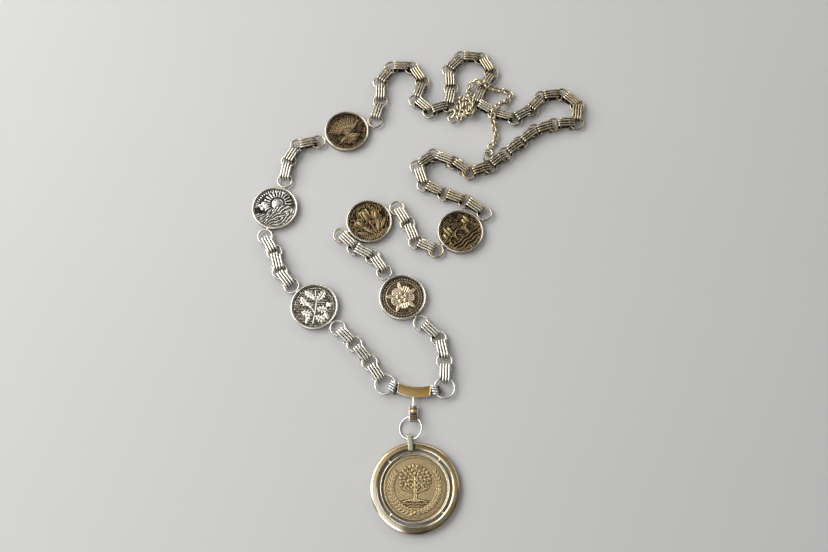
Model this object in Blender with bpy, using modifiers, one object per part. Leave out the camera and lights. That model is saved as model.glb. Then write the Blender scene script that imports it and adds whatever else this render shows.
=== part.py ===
# Mayoral chain of office, lying flat: barrel links on round rings, six medallions,
# a curved bar, a round pendant and a fine safety chain. Metres, +Z up, resting on z = 0.

import math

import bmesh
import bpy
import numpy as np
from mathutils import Matrix, Vector

MM = 0.001

# Where the middle of the laid-out chain lies in the layout's own millimetres.
LAYOUT_MIDDLE = (0.4, 1.36)

# Connecting rings, mm: radius to the middle of the wire, wire, height of the middle.
RING_RADIUS = 4.95
RING_WIRE = 1.2
RING_HEIGHT = 2.3
BIG_RING_RADIUS = 6.6
BIG_RING_WIRE = 1.3
FRONT_RING_STEPS = (14, 5)
NECK_RING_STEPS = (10, 4)

# Barrel link, mm: a flattened tube that the rings pass through from side to side.
LINK_LENGTH = 12.6
LINK_HEIGHT = 5.8
LINK_LEFT_SIDE = 2.4
LINK_RIGHT_SIDE = 2.7
LINK_END_WALL = 0.7
LINK_WALL = 1.3
LINK_OUTLINE_POINTS = 12
LINK_OUTLINE_POWER = 2.7
NECK_SECTION_STARTS = (0, 9, 16, 23, 29)

# Medallion, mm.
MEDALLION_RADIUS = 16.0
RIM_INNER_RADIUS = 13.4
RIM_THICKNESS = 4.0
DISC_GAP = 0.3
SOLDERED_RING_DISTANCE = 22.0
MEDALLION_STEPS = 28

# Pendant, mm.
PENDANT_CENTRE = (-4.8, -144.7)
BAND_OUTER_RADIUS = 28.1
BAND_INNER_RADIUS = 23.4
BAND_BOTTOM = 1.1
BAND_TOP = 4.1
BEZEL_OUTER_RADIUS = 21.6
BEZEL_INNER_RADIUS = 19.7
BEZEL_TOP = 3.8
FACE_TOP = 3.0
PIN_ANGLES = (48.0, 135.0, 228.0, 319.0)
PIN_DIAMETER = 1.8
PENDANT_STEPS = 36

# Strap bail round the band, in mm along the pendant's own radius.
BAIL_ANGLE = 96.6
BAIL_WIDTH = 3.6
BAIL_HEIGHT = 5.2
BAIL_STRAP = 0.85
BAIL_START = 22.0
BAIL_END = 33.9

# Jump ring, swivel box and its post, mm.
JUMP_RING_CENTRE = (-7.6, -107.1, 3.0)
JUMP_RING_RADIUS = 6.8
JUMP_RING_WIRE = 1.0
JUMP_RING_TILT = 20.0
HANGER_X = -5.9
BOX_CENTRE_Y = -98.4
BOX_HEIGHT_ABOVE = 3.6
BOX_WIDTH = 6.4
BOX_LENGTH = 10.6
BOX_SIDE_WALL = 1.0
BOX_NEAR_WALL = 1.0
BOX_FAR_WALL = 1.3
BOX_THICKNESS = 1.2
BOX_ROLL = 12.0
BOX_COLLAR_DIAMETER = 2.8
POST_DIAMETER = 1.0
POST_BORE = 1.7
HEAD_DIAMETER = 3.4
HEAD_FAR_Y = -96.0
HEAD_NEAR_Y = -99.1

# Bar, mm: a plate bent like a shallow smile, with a raised border and a sleeve at each end.
BAR_CENTRE = (-5.3, -82.3)
BAR_TURN = -6.0
BAR_LENGTH = 21.8
BAR_WIDTH = 7.2
BAR_SAG = 1.95
BAR_BOTTOM = 0.9
BAR_TOP = 4.9
BAR_BORDER = 0.8
BAR_POCKET = 0.4
BAR_OUTLINE_STEPS = 8
BIG_RINGS = {"left": (-24.3, -78.8), "right": (14.45, -81.3)}
BIG_RING_HEIGHT = 2.4
SLEEVE_LENGTH = 5.9
SLEEVE_OVERLAP = 0.9
SLEEVE_HEIGHT = 4.6
SLEEVE_WIDTH = 7.2
SLEEVE_WALL = 1.1
SLEEVE_BORE_START = 0.95

# Medallions in chain order: name, x, y, direction of the outgoing ring in degrees.
MEDALLIONS = [
    ("left_low", -72.5, -25.8, 137.5),
    ("left_mid", -103.0, 46.5, 75.0),
    ("left_high", -54.2, 107.5, 22.5),
    ("right_high", 26.8, 28.7, 219.0),
    ("right_mid", -36.7, 36.5, 208.0),
    ("right_low", -13.2, -19.2, -55.3),
]

# Runs of three barrel links: name, what the first ring belongs to, two free rings,
# what the last ring belongs to, and how far each link has slid towards its next ring.
FRONT_RUNS = [
    ("left_front", "big left", (-34.7, -64.1), (-45.0, -51.6), "in left_low", (0.9, -0.1, 0.0)),
    ("left_middle", "out left_low", (-97.1, -0.6), (-101.6, 13.5), "in left_mid", (0.0, 0.0, 0.0)),
    ("left_back", "out left_mid", (-95.3, 83.6), (-89.4, 95.6), "in left_high", (-0.2, -0.8, 0.2)),
    ("right_back", "out right_high", (-4.1, 21.1), (-10.0, 35.0), "in right_mid", (-0.2, 0.0, 0.0)),
    ("right_middle", "out right_mid", (-46.4, 16.7), (-33.7, 10.0), "in right_low", (0.0, 0.0, 0.2)),
    ("right_front", "out right_low", (11.0, -47.9), (14.6, -63.4), "big right", (0.0, -0.2, -1.0)),
]

# Free rings of the neck run in order: x, y, and how far the link before the ring has slid.
NECK_RINGS = [
    (-30.1, 131.9, -0.2), (-30.5, 148.3, -0.2), (-22.2, 161.1, -0.6), (-7.2, 161.0, 0.4),
    (0.8, 148.5, 0.4), (-4.0, 132.8, -0.2), (6.2, 123.5, 0.2), (19.7, 128.6, 0.4),
    (21.9, 142.9, 0.6), (20.8, 158.8, -0.2), (29.8, 170.1, 0.0), (44.8, 169.2, 0.4),
    (52.1, 156.2, 0.2), (45.2, 144.2, 1.0), (40.4, 130.2, 0.4), (53.8, 121.9, 0.0),
    (68.2, 117.7, -0.2), (80.3, 125.2, 0.0), (88.5, 135.7, -0.2), (104.1, 137.8, 0.0),
    (114.3, 128.6, 1.0), (112.9, 114.5, -0.8), (96.8, 113.0, -0.2), (82.4, 108.2, 0.0),
    (71.1, 98.1, -0.6), (60.5, 89.2, -1.0), (48.7, 79.3, 0.0), (34.4, 74.0, -0.6),
    (23.5, 82.1, 1.0), (8.9, 88.1, -0.2), (-3.1, 78.8, -0.2), (1.9, 64.6, 0.4),
    (16.4, 57.2, -0.2), (30.8, 51.8, 0.0),
]
LAST_NECK_SLIDE = -0.2

# Small rings that hold the safety chain: name, x, y, z, radius, tilt, direction of its high side.
SAFETY_WIRE = 0.9
SAFETY_RINGS = [
    ("safety_ring_a", 21.4, 122.4, 2.8, 3.2, 43.0, 357.0),
    ("safety_ring_b", 22.9, 117.9, 3.4, 3.1, 6.0, 171.0),
    ("safety_ring_c", 47.9, 90.3, 2.5, 2.8, 12.0, 241.0),
    ("safety_ring_d", 46.8, 85.8, 3.3, 3.7, 48.0, 167.0),
]

# Route of the safety chain: x, y, z in mm. It zigzags over itself, crosses the neck run twice.
SAFETY_DIAMETER = 2.6
SAFETY_POINTS = 70
SAFETY_ROUTE = [
    (28.0, 118.6, 1.6), (27.3, 124.0, 1.6), (27.4, 131.4, 1.6), (28.5, 135.2, 3.2),
    (29.6, 132.0, 4.8), (29.5, 124.0, 4.8), (30.6, 119.4, 3.2), (31.6, 123.0, 1.6),
    (31.6, 130.4, 1.6), (32.7, 134.0, 3.2), (33.7, 130.6, 4.8), (33.5, 123.4, 4.9),
    (35.2, 119.6, 4.8), (36.9, 123.4, 4.9), (36.7, 131.0, 5.0), (34.4, 137.8, 3.2),
    (33.8, 143.0, 2.4), (37.0, 147.8, 6.0), (41.6, 147.6, 7.8), (45.6, 145.4, 7.8),
    (49.6, 142.8, 6.0), (53.8, 141.8, 2.2), (58.6, 142.0, 1.6), (63.4, 140.4, 1.6),
    (66.6, 137.4, 1.6), (63.6, 133.6, 1.8), (60.4, 130.8, 3.4), (57.6, 127.8, 7.2),
    (54.2, 124.4, 7.8), (51.4, 119.8, 7.4), (51.8, 114.8, 4.4), (53.2, 109.4, 1.9),
    (53.6, 103.8, 1.6), (52.8, 98.6, 1.6), (49.6, 95.6, 1.7),
]

FINISHES = {
    "chain_silver": ((0.66, 0.62, 0.52), 0.28),
    "medallion_rim": ((0.62, 0.57, 0.46), 0.30),
    "medallion_disc": ((0.30, 0.23, 0.13), 0.45),
    "pendant_gold": ((0.72, 0.58, 0.32), 0.25),
    "pendant_face": ((0.60, 0.49, 0.28), 0.50),
    "bar_gold": ((0.62, 0.49, 0.23), 0.35),
    "bright_silver": ((0.75, 0.75, 0.73), 0.20),
}


def clear_scene():
    for old in list(bpy.data.objects):
        bpy.data.objects.remove(old, do_unlink=True)


def make_collection(name):
    made = bpy.data.collections.new(name)
    bpy.context.scene.collection.children.link(made)
    return made


def make_finishes():
    made = {}
    for name, (colour, roughness) in FINISHES.items():
        finish = bpy.data.materials.new(name)
        finish.use_nodes = True
        shader = finish.node_tree.nodes["Principled BSDF"]
        shader.inputs["Base Color"].default_value = (*colour, 1.0)
        shader.inputs["Roughness"].default_value = roughness
        shader.inputs["Metallic"].default_value = 1.0
        made[name] = finish
    return made


def at(x, y, z=0.0):
    """Layout millimetres to metres from the middle of the laid-out chain."""
    return Vector(((x - LAYOUT_MIDDLE[0]) * MM, (y - LAYOUT_MIDDLE[1]) * MM, z * MM))


def add_part(name, mesh, finish, place=(0.0, 0.0, 0.0), turn=(0.0, 0.0, 0.0)):
    made = bpy.data.objects.new(name, mesh)
    made.location = place
    made.rotation_euler = turn
    if not mesh.materials:
        mesh.materials.append(FINISH[finish])
    PARTS.objects.link(made)
    return made


def add_cutter(mesh, matrix):
    """A shape that is only joined to another part or cut from it."""
    made = bpy.data.objects.new("tool", mesh)
    made.matrix_world = matrix
    made.hide_render = True
    made.display_type = "WIRE"
    CUTTERS.objects.link(made)
    return made


def smooth(mesh, angle=40.0):
    mesh.shade_smooth()
    mesh.set_sharp_from_angle(angle=math.radians(angle))
    return mesh


def take_mesh(source):
    """The finished mesh of an object, with loose caps welded; the object is removed."""
    bpy.context.view_layer.update()
    graph = bpy.context.evaluated_depsgraph_get()
    mesh = bpy.data.meshes.new_from_object(source.evaluated_get(graph))
    mesh.transform(source.matrix_world)
    bpy.data.objects.remove(source, do_unlink=True)
    shell = bmesh.new()
    shell.from_mesh(mesh)
    bmesh.ops.remove_doubles(shell, verts=shell.verts, dist=0.000001)
    bmesh.ops.recalc_face_normals(shell, faces=shell.faces)
    shell.to_mesh(mesh)
    shell.free()
    return mesh


def torus_mesh(radius, wire, steps):
    bpy.ops.mesh.primitive_torus_add(major_radius=radius * MM, minor_radius=wire / 2 * MM,
                                     major_segments=steps[0], minor_segments=steps[1])
    return smooth(take_mesh(bpy.context.active_object), 80.0)


def cylinder_mesh(diameter, start, end, sides=12):
    """A cylinder along X from start to end."""
    shell = bmesh.new()
    bmesh.ops.create_cone(shell, cap_ends=True, segments=sides, radius1=diameter / 2 * MM,
                          radius2=diameter / 2 * MM, depth=(end - start) * MM)
    mesh = bpy.data.meshes.new("cylinder")
    shell.to_mesh(mesh)
    shell.free()
    mesh.transform(Matrix.Translation(((start + end) / 2 * MM, 0, 0))
                   @ Matrix.Rotation(math.pi / 2, 4, "Y"))
    return mesh


def box_mesh(length, width, height):
    shell = bmesh.new()
    bmesh.ops.create_cube(shell, size=1.0)
    mesh = bpy.data.meshes.new("block")
    shell.to_mesh(mesh)
    shell.free()
    mesh.transform(Matrix.Diagonal((length * MM, width * MM, height * MM, 1.0)))
    return mesh


def turned_mesh(profile, steps, closed):
    """A profile of (radius, height) in mm turned round Z. It runs down its outer side."""
    mesh = bpy.data.meshes.new("profile")
    points = [(radius * MM, 0.0, height * MM) for radius, height in profile]
    edges = [(i, i + 1) for i in range(len(points) - 1)]
    if closed:
        edges.append((len(points) - 1, 0))
    mesh.from_pydata(points, edges, [])
    turned = bpy.data.objects.new("turned", mesh)
    CUTTERS.objects.link(turned)
    screw = turned.modifiers.new("turn", "SCREW")
    screw.axis = "Z"
    screw.angle = 2 * math.pi
    screw.steps = steps
    screw.render_steps = steps
    screw.use_merge_vertices = True
    screw.merge_threshold = 0.00001
    return take_mesh(turned)


def outline_mesh(outlines, low, high):
    """Flat outlines in mm, the first one outside and the others holes, extruded from low to high."""
    curve = bpy.data.curves.new("outline", "CURVE")
    curve.dimensions = "2D"
    curve.fill_mode = "BOTH"
    curve.extrude = (high - low) / 2 * MM
    for outline in outlines:
        spline = curve.splines.new("POLY")
        spline.points.add(len(outline) - 1)
        for point, (x, y) in zip(spline.points, outline):
            point.co = (x * MM, y * MM, 0.0, 1.0)
        spline.use_cyclic_u = True
    flat = bpy.data.objects.new("outline", curve)
    CUTTERS.objects.link(flat)
    mesh = take_mesh(flat)
    mesh.transform(Matrix.Translation((0, 0, (high + low) / 2 * MM)))
    return mesh


def stand_up(mesh):
    """Turn an outline drawn in X and Y so that its Y points up and it is extruded along -Y."""
    mesh.transform(Matrix.Rotation(math.pi / 2, 4, "X"))
    return mesh


def combine(mesh, tools, operation="UNION"):
    """One mesh from a first mesh and a list of (mesh, matrix), joined or cut with booleans."""
    base = bpy.data.objects.new("base", mesh)
    CUTTERS.objects.link(base)
    cutters = [add_cutter(tool, matrix) for tool, matrix in tools]
    for cutter in cutters:
        boolean = base.modifiers.new("join", "BOOLEAN")
        boolean.operation = operation
        boolean.solver = "EXACT"
        boolean.object = cutter
    made = take_mesh(base)
    for cutter in cutters:
        bpy.data.objects.remove(cutter, do_unlink=True)
    return made


def spot(x, y, z, turn=0.0):
    """A matrix in mm and degrees: a turn about Z, then a move."""
    return Matrix.Translation((x * MM, y * MM, z * MM)) @ Matrix.Rotation(math.radians(turn), 4, "Z")


def oval(length, height, count, power):
    """A superellipse standing on y = 0."""
    angles = 2 * np.pi * (np.arange(count) + 0.5) / count
    x = length / 2 * np.sign(np.cos(angles)) * np.abs(np.cos(angles)) ** (2 / power)
    y = height / 2 * np.sign(np.sin(angles)) * np.abs(np.sin(angles)) ** (2 / power)
    return list(zip(x, y + height / 2))


def bore_outline(start, end, low, high):
    """A rectangle with its corners cut, for a bore."""
    cut = (high - low) * 0.25
    return [(start + cut, low), (end - cut, low), (end, low + cut), (end, high - cut),
            (end - cut, high), (start + cut, high), (start, high - cut), (start, low + cut)]


def link_mesh(bore_start, bore_end):
    """Barrel link along X. The bore runs from bore_start to bore_end; equal ends mean no bore."""
    outlines = [oval(LINK_LENGTH, LINK_HEIGHT, LINK_OUTLINE_POINTS, LINK_OUTLINE_POWER)]
    if bore_end > bore_start:
        outlines.append(bore_outline(bore_start, bore_end, LINK_WALL, LINK_HEIGHT - LINK_WALL))
    return stand_up(outline_mesh(outlines, -LINK_LEFT_SIDE, LINK_RIGHT_SIDE))


def direction(start, end):
    return math.degrees(math.atan2(end[1] - start[1], end[0] - start[0]))


def midpoint(start, end, slide=0.0):
    """Halfway between two ring centres, moved forward by slide."""
    turn = math.radians(direction(start, end))
    return ((start[0] + end[0]) / 2 + slide * math.cos(turn),
            (start[1] + end[1]) / 2 + slide * math.sin(turn))


def anchor(name):
    """The centre of a ring that belongs to the bar or to a medallion."""
    side, owner = name.split()
    if side == "big":
        return BIG_RINGS[owner]
    x, y, turn = next(row[1:] for row in MEDALLIONS if row[0] == owner)
    reach = SOLDERED_RING_DISTANCE if side == "out" else -SOLDERED_RING_DISTANCE
    return (x + reach * math.cos(math.radians(turn)), y + reach * math.sin(math.radians(turn)))


def build_medallions():
    edge = RIM_THICKNESS - 0.8
    rim = turned_mesh([(MEDALLION_RADIUS - 1.1, RIM_THICKNESS), (MEDALLION_RADIUS, edge),
                       (MEDALLION_RADIUS, 0.0), (RIM_INNER_RADIUS, 0.0),
                       (RIM_INNER_RADIUS, edge)], MEDALLION_STEPS, True)
    ring = torus_mesh(RING_RADIUS, RING_WIRE, FRONT_RING_STEPS)
    solder = box_mesh(1.5, 2.4, 1.5)
    solder_at = MEDALLION_RADIUS + 0.3
    joined = [(ring, spot(-SOLDERED_RING_DISTANCE, 0, RING_HEIGHT)),
              (ring, spot(SOLDERED_RING_DISTANCE, 0, RING_HEIGHT, 180)),
              (solder, spot(-solder_at, 0, RING_HEIGHT)),
              (solder, spot(solder_at, 0, RING_HEIGHT))]
    rim = smooth(combine(rim, joined))
    disc_radius = RIM_INNER_RADIUS - DISC_GAP
    disc = smooth(turned_mesh([(0.0, 2.9), (disc_radius - 0.7, 2.8), (disc_radius, 2.3),
                               (disc_radius, 0.2), (0.0, 0.2)], MEDALLION_STEPS, False))
    for name, x, y, turn in MEDALLIONS:
        turned = (0, 0, math.radians(turn))
        add_part(f"medallion_{name}_rim", rim, "medallion_rim", at(x, y), turned)
        add_part(f"medallion_{name}_disc", disc, "medallion_disc", at(x, y), turned)


def build_front_runs():
    inner_end = LINK_LENGTH / 2 - LINK_END_WALL
    link = smooth(link_mesh(-inner_end, inner_end))
    ring = torus_mesh(RING_RADIUS, RING_WIRE, FRONT_RING_STEPS)
    for run, first, ring_1, ring_2, last, slides in FRONT_RUNS:
        rings = [anchor(first), ring_1, ring_2, anchor(last)]
        for i in range(3):
            turn = direction(rings[i], rings[i + 1])
            place = at(*midpoint(rings[i], rings[i + 1], slides[i]))
            add_part(f"link_{run}_{i + 1}", link, "chain_silver", place,
                     (0, 0, math.radians(turn)))
        for i, (x, y) in enumerate((ring_1, ring_2)):
            add_part(f"ring_{run}_{i + 1}", ring, "chain_silver", at(x, y, RING_HEIGHT))


def build_neck_run():
    """Thirty-five links on thirty-four rings, joined in sections that hang in each other."""
    inner_end = LINK_LENGTH / 2 - LINK_END_WALL
    solid = link_mesh(0, 0)
    open_back = link_mesh(-inner_end, 0.4)
    open_front = link_mesh(-0.4, inner_end)
    ring = torus_mesh(RING_RADIUS, RING_WIRE, NECK_RING_STEPS)
    centres = [anchor("out left_high")]
    centres += [(x, y) for x, y, slide in NECK_RINGS]
    centres.append(anchor("in right_high"))
    slides = [slide for x, y, slide in NECK_RINGS] + [LAST_NECK_SLIDE]
    count = len(slides)
    ends = NECK_SECTION_STARTS[1:] + (count,)
    for section, (start, end) in enumerate(zip(NECK_SECTION_STARTS, ends)):
        tools = []
        for i in range(start, end):
            shape = open_back if i == start else solid
            if i == count - 1:
                shape = open_front
            x, y = midpoint(centres[i], centres[i + 1], slides[i])
            turn = direction(centres[i], centres[i + 1])
            tools.append((shape, Matrix.Translation(at(x, y))
                          @ Matrix.Rotation(math.radians(turn), 4, "Z")))
            if i < count - 1:
                tools.append((ring, Matrix.Translation(at(*centres[i + 1], RING_HEIGHT))
                              @ Matrix.Rotation(math.radians(turn + 15), 4, "Z")))
        first, matrix = tools[0]
        base = first.copy()
        base.transform(matrix)
        add_part(f"neck_run_{section + 1}", smooth(combine(base, tools[1:])), "chain_silver")


def build_pendant():
    x, y = PENDANT_CENTRE
    band = turned_mesh([(BAND_OUTER_RADIUS - 0.8, BAND_TOP), (BAND_OUTER_RADIUS, BAND_TOP - 0.9),
                        (BAND_OUTER_RADIUS, BAND_BOTTOM + 0.4),
                        (BAND_OUTER_RADIUS - 0.4, BAND_BOTTOM),
                        (BAND_INNER_RADIUS, BAND_BOTTOM), (BAND_INNER_RADIUS, BAND_TOP - 0.4),
                        (BAND_INNER_RADIUS + 0.4, BAND_TOP)], PENDANT_STEPS, True)
    bezel = turned_mesh([(BEZEL_OUTER_RADIUS - 0.4, BEZEL_TOP),
                         (BEZEL_OUTER_RADIUS, BEZEL_TOP - 0.5), (BEZEL_OUTER_RADIUS, 0.0),
                         (BEZEL_INNER_RADIUS, 0.0), (BEZEL_INNER_RADIUS, BEZEL_TOP - 0.4)],
                        PENDANT_STEPS, True)
    pin = cylinder_mesh(PIN_DIAMETER, BEZEL_OUTER_RADIUS - 0.6, BAND_INNER_RADIUS + 0.6, 8)
    pins = [(pin, spot(0, 0, (BAND_BOTTOM + BAND_TOP) / 2, angle)) for angle in PIN_ANGLES]
    frame = smooth(combine(band, [(bezel, Matrix.Identity(4))] + pins))
    add_part("pendant_frame", frame, "pendant_gold", at(x, y))
    face_radius = BEZEL_INNER_RADIUS - DISC_GAP
    face = smooth(turned_mesh([(0.0, FACE_TOP), (face_radius - 0.5, FACE_TOP),
                               (face_radius, FACE_TOP - 0.4), (face_radius, 0.0), (0.0, 0.0)],
                              PENDANT_STEPS, False))
    add_part("pendant_disc", face, "pendant_face", at(x, y))
    strap = BAIL_STRAP
    bail = [[(BAIL_START, 0.0), (BAIL_END - 0.9, 0.0), (BAIL_END, 1.4),
             (BAIL_END, BAIL_HEIGHT - 1.4), (BAIL_END - 0.9, BAIL_HEIGHT),
             (BAIL_START + 0.4, BAIL_HEIGHT), (BAIL_START, BAIL_HEIGHT - 0.4)],
            [(BAIL_START + strap, strap), (BAIL_END - 1.3, strap), (BAIL_END - strap, 1.6),
             (BAIL_END - strap, BAIL_HEIGHT - 1.6), (BAIL_END - 1.3, BAIL_HEIGHT - strap),
             (BAIL_START + strap, BAIL_HEIGHT - strap)]]
    loop = stand_up(outline_mesh(bail, -BAIL_WIDTH / 2, BAIL_WIDTH / 2))
    add_part("pendant_bail", loop, "pendant_gold", at(x, y), (0, 0, math.radians(BAIL_ANGLE)))


def build_hanger():
    ring = torus_mesh(JUMP_RING_RADIUS, JUMP_RING_WIRE, (20, 6))
    add_part("pendant_jump_ring", ring, "bright_silver", at(*JUMP_RING_CENTRE),
             (0, math.radians(-JUMP_RING_TILT), 0))
    half_length = BOX_LENGTH / 2
    half_width = BOX_WIDTH / 2
    window = half_width - BOX_SIDE_WALL
    near = -half_length + BOX_NEAR_WALL
    far = half_length - BOX_FAR_WALL
    outlines = [[(-half_width, -half_length), (half_width, -half_length),
                 (half_width, half_length), (-half_width, half_length)],
                [(-window, near), (window, near), (window, far), (-window, far)]]
    frame = outline_mesh(outlines, -BOX_THICKNESS / 2, BOX_THICKNESS / 2)
    collar = cylinder_mesh(BOX_COLLAR_DIAMETER, far + 0.1, half_length - 0.1)
    bore = cylinder_mesh(POST_BORE, far - 0.6, half_length + 0.6)
    frame = combine(frame, [(collar, spot(0, 0, 0, 90))])
    frame = smooth(combine(frame, [(bore, spot(0, 0, 0, 90))], "DIFFERENCE"))
    add_part("swivel_box", frame, "bar_gold", at(HANGER_X, BOX_CENTRE_Y, BOX_HEIGHT_ABOVE),
             (0, math.radians(BOX_ROLL), 0))


def bar_outline(inset):
    """Plate outline bent like a smile, drawn in by inset."""
    half = BAR_LENGTH / 2 - inset
    rise = BAR_WIDTH / 2 - inset
    x = np.linspace(-half, half, BAR_OUTLINE_STEPS + 1)
    bend = -BAR_SAG * (1 - (2 * x / BAR_LENGTH) ** 2)
    lower = list(zip(x, bend - rise))
    upper = list(zip(x[::-1], bend[::-1] + rise))
    return lower + upper


def build_bar():
    x, y = BAR_CENTRE
    turn = math.radians(BAR_TURN)
    pocket = outline_mesh([bar_outline(BAR_BORDER)], BAR_TOP - BAR_POCKET, BAR_TOP + 1.0)
    plate = combine(outline_mesh([bar_outline(0.0)], BAR_BOTTOM, BAR_TOP),
                    [(pocket, Matrix.Identity(4))], "DIFFERENCE")
    plate.transform(spot(x, y, 0, BAR_TURN))
    sleeve = stand_up(outline_mesh(
        [bore_outline(-SLEEVE_OVERLAP, SLEEVE_LENGTH, 0.0, SLEEVE_HEIGHT),
         bore_outline(SLEEVE_BORE_START, SLEEVE_LENGTH - SLEEVE_WALL, SLEEVE_WALL,
                      SLEEVE_HEIGHT - SLEEVE_WALL)],
        -SLEEVE_WIDTH / 2, SLEEVE_WIDTH / 2))
    joined = []
    for side, centre in BIG_RINGS.items():
        reach = BAR_LENGTH / 2 * (1 if side == "right" else -1)
        end = (x + reach * math.cos(turn), y + reach * math.sin(turn))
        joined.append((sleeve, spot(*end, 0, direction(end, centre))))
    post_top = y - BAR_SAG - BAR_WIDTH / 2 + 0.8
    post = cylinder_mesh(POST_DIAMETER, -post_top, -HEAD_FAR_Y + 0.2)
    head = cylinder_mesh(HEAD_DIAMETER, -HEAD_FAR_Y, -HEAD_NEAR_Y, 16)
    hanging = spot(HANGER_X, 0, BOX_HEIGHT_ABOVE, -90)
    joined += [(post, hanging), (head, hanging)]
    bar = combine(plate, joined)
    bar.transform(Matrix.Translation(at(0, 0)))
    add_part("bar", smooth(bar, 30.0), "bar_gold")
    ring = torus_mesh(BIG_RING_RADIUS, BIG_RING_WIRE, (18, 6))
    for side, (ring_x, ring_y) in BIG_RINGS.items():
        add_part(f"big_ring_{side}", ring, "bright_silver", at(ring_x, ring_y, BIG_RING_HEIGHT))


def smooth_route(route, count):
    """Even steps along a Catmull-Rom curve through the route's points."""
    points = np.array(route)
    padded = np.vstack([2 * points[0] - points[1], points, 2 * points[-1] - points[-2]])
    t = np.linspace(0, 1, 20, endpoint=False)[:, None]
    pieces = []
    for p0, p1, p2, p3 in zip(padded, padded[1:], padded[2:], padded[3:]):
        pieces.append(0.5 * (2 * p1 + (p2 - p0) * t + (2 * p0 - 5 * p1 + 4 * p2 - p3) * t ** 2
                             + (3 * p1 - p0 - 3 * p2 + p3) * t ** 3))
    fine = np.vstack(pieces + [points[-1:]])
    along = np.concatenate([[0], np.cumsum(np.linalg.norm(np.diff(fine, axis=0), axis=1))])
    even = np.linspace(0, along[-1], count)
    return np.column_stack([np.interp(even, along, fine[:, k]) for k in range(3)])


def build_safety_chain():
    curve = bpy.data.curves.new("safety_chain", "CURVE")
    curve.dimensions = "3D"
    curve.bevel_depth = SAFETY_DIAMETER / 2 * MM
    curve.bevel_resolution = 2
    curve.use_fill_caps = True
    route = smooth_route(SAFETY_ROUTE, SAFETY_POINTS)
    spline = curve.splines.new("POLY")
    spline.points.add(len(route) - 1)
    for point, (x, y, z) in zip(spline.points, route):
        point.co = (*at(x, y, z), 1.0)
    tube = bpy.data.objects.new("tube", curve)
    CUTTERS.objects.link(tube)
    add_part("safety_chain", smooth(take_mesh(tube), 60.0), "bright_silver")
    for name, x, y, z, radius, tilt, high_side in SAFETY_RINGS:
        ring = torus_mesh(radius, SAFETY_WIRE, (14, 4))
        lean = Matrix.Rotation(math.radians(high_side), 4, "Z") @ Matrix.Rotation(
            math.radians(-tilt), 4, "Y")
        add_part(name, ring, "bright_silver", at(x, y, z), lean.to_euler())


clear_scene()
PARTS = make_collection("chain_of_office")
CUTTERS = make_collection("cutters")
FINISH = make_finishes()
build_medallions()
build_front_runs()
build_neck_run()
build_pendant()
build_hanger()
build_bar()
build_safety_chain()
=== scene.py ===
# The looks of a mayoral chain of office that lies flat on a pale floor.
# The pieces' values are in mm, in the layout that the CAD part was drawn in; makePiece turns them into
# metres. Values of the camera, the lights and the floor are in metres.
import math

import bpy
import numpy as np
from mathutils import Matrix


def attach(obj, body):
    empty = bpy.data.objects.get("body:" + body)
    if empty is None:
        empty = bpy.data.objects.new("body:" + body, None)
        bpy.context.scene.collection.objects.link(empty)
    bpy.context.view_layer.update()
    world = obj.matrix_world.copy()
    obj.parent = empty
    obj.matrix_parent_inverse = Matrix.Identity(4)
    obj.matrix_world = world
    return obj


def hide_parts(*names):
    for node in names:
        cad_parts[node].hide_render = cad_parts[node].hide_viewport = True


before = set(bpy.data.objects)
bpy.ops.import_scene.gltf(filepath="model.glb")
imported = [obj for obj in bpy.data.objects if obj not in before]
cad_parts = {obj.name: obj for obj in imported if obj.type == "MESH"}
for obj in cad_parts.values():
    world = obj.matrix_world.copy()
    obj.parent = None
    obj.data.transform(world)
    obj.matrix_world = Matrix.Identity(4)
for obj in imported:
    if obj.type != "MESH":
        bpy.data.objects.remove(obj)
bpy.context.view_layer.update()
mm = 0.001
layoutMiddle = np.array((0.4, 1.36, 0.0))
print("frame loaded:", len(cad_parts), "CAD nodes")


# Small tools for surfaces. A surface is a dictionary: points, faces as arrays of corner numbers, and
# two marks for each point: one from 0 open to 1 hidden, which paints shade and tarnish alike, and tone,
# from 0 silver to 1 brown.

def unit(vectors):
    return vectors / np.maximum(np.linalg.norm(vectors, axis=-1, keepdims=True), 1e-9)


# Cubic step from 0 at low to 1 at high: three squares less two cubes of the share between them.
def smoothStep(low, high, value):
    t = np.clip((value - low) / (high - low), 0, 1)
    return t * t * (3 - 2 * t)


# Sign kept, size raised to a power: below 1 it draws a circle out toward a square.
def signedPower(values, power):
    return np.sign(values) * np.abs(values) ** power


def cosSin(degrees):
    return math.cos(math.radians(degrees)), math.sin(math.radians(degrees))


def polar(x, y, reach, degrees):
    c, s = cosSin(degrees)
    return x + reach * c, y + reach * s


def heading(start, end):
    return math.degrees(math.atan2(end[1] - start[1], end[0] - start[0]))


def fullTurn(steps, shift=0.0):
    return 2 * np.pi * (np.arange(steps) + shift) / steps


def turnMatrix(axis, degrees):
    c, s = cosSin(degrees)
    return np.array({"x": ((1, 0, 0), (0, c, -s), (0, s, c)), "y": ((c, 0, s), (0, 1, 0), (-s, 0, c)),
                     "z": ((c, -s, 0), (s, c, 0), (0, 0, 1))}[axis])


def surface(points, faces, shadeAndTarnish):
    return {"points": points, "faces": faces, "shadeAndTarnish": shadeAndTarnish, "tone": np.zeros(len(shadeAndTarnish))}


def moved(shape, place, turn=None):
    points = shape["points"] if turn is None else shape["points"] @ turn.T
    return {**shape, "points": points + np.array(place)}


def toned(shape, tone):
    return {**shape, "tone": shape["tone"] + tone}


def joined(shapes):
    starts = np.cumsum([0] + [len(s["points"]) for s in shapes])
    return {"points": np.vstack([s["points"] for s in shapes]),
            "faces": [f + start for s, start in zip(shapes, starts) for f in s["faces"]],
            **{mark: np.concatenate([s[mark] for s in shapes]) for mark in ("shadeAndTarnish", "tone")}}


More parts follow.
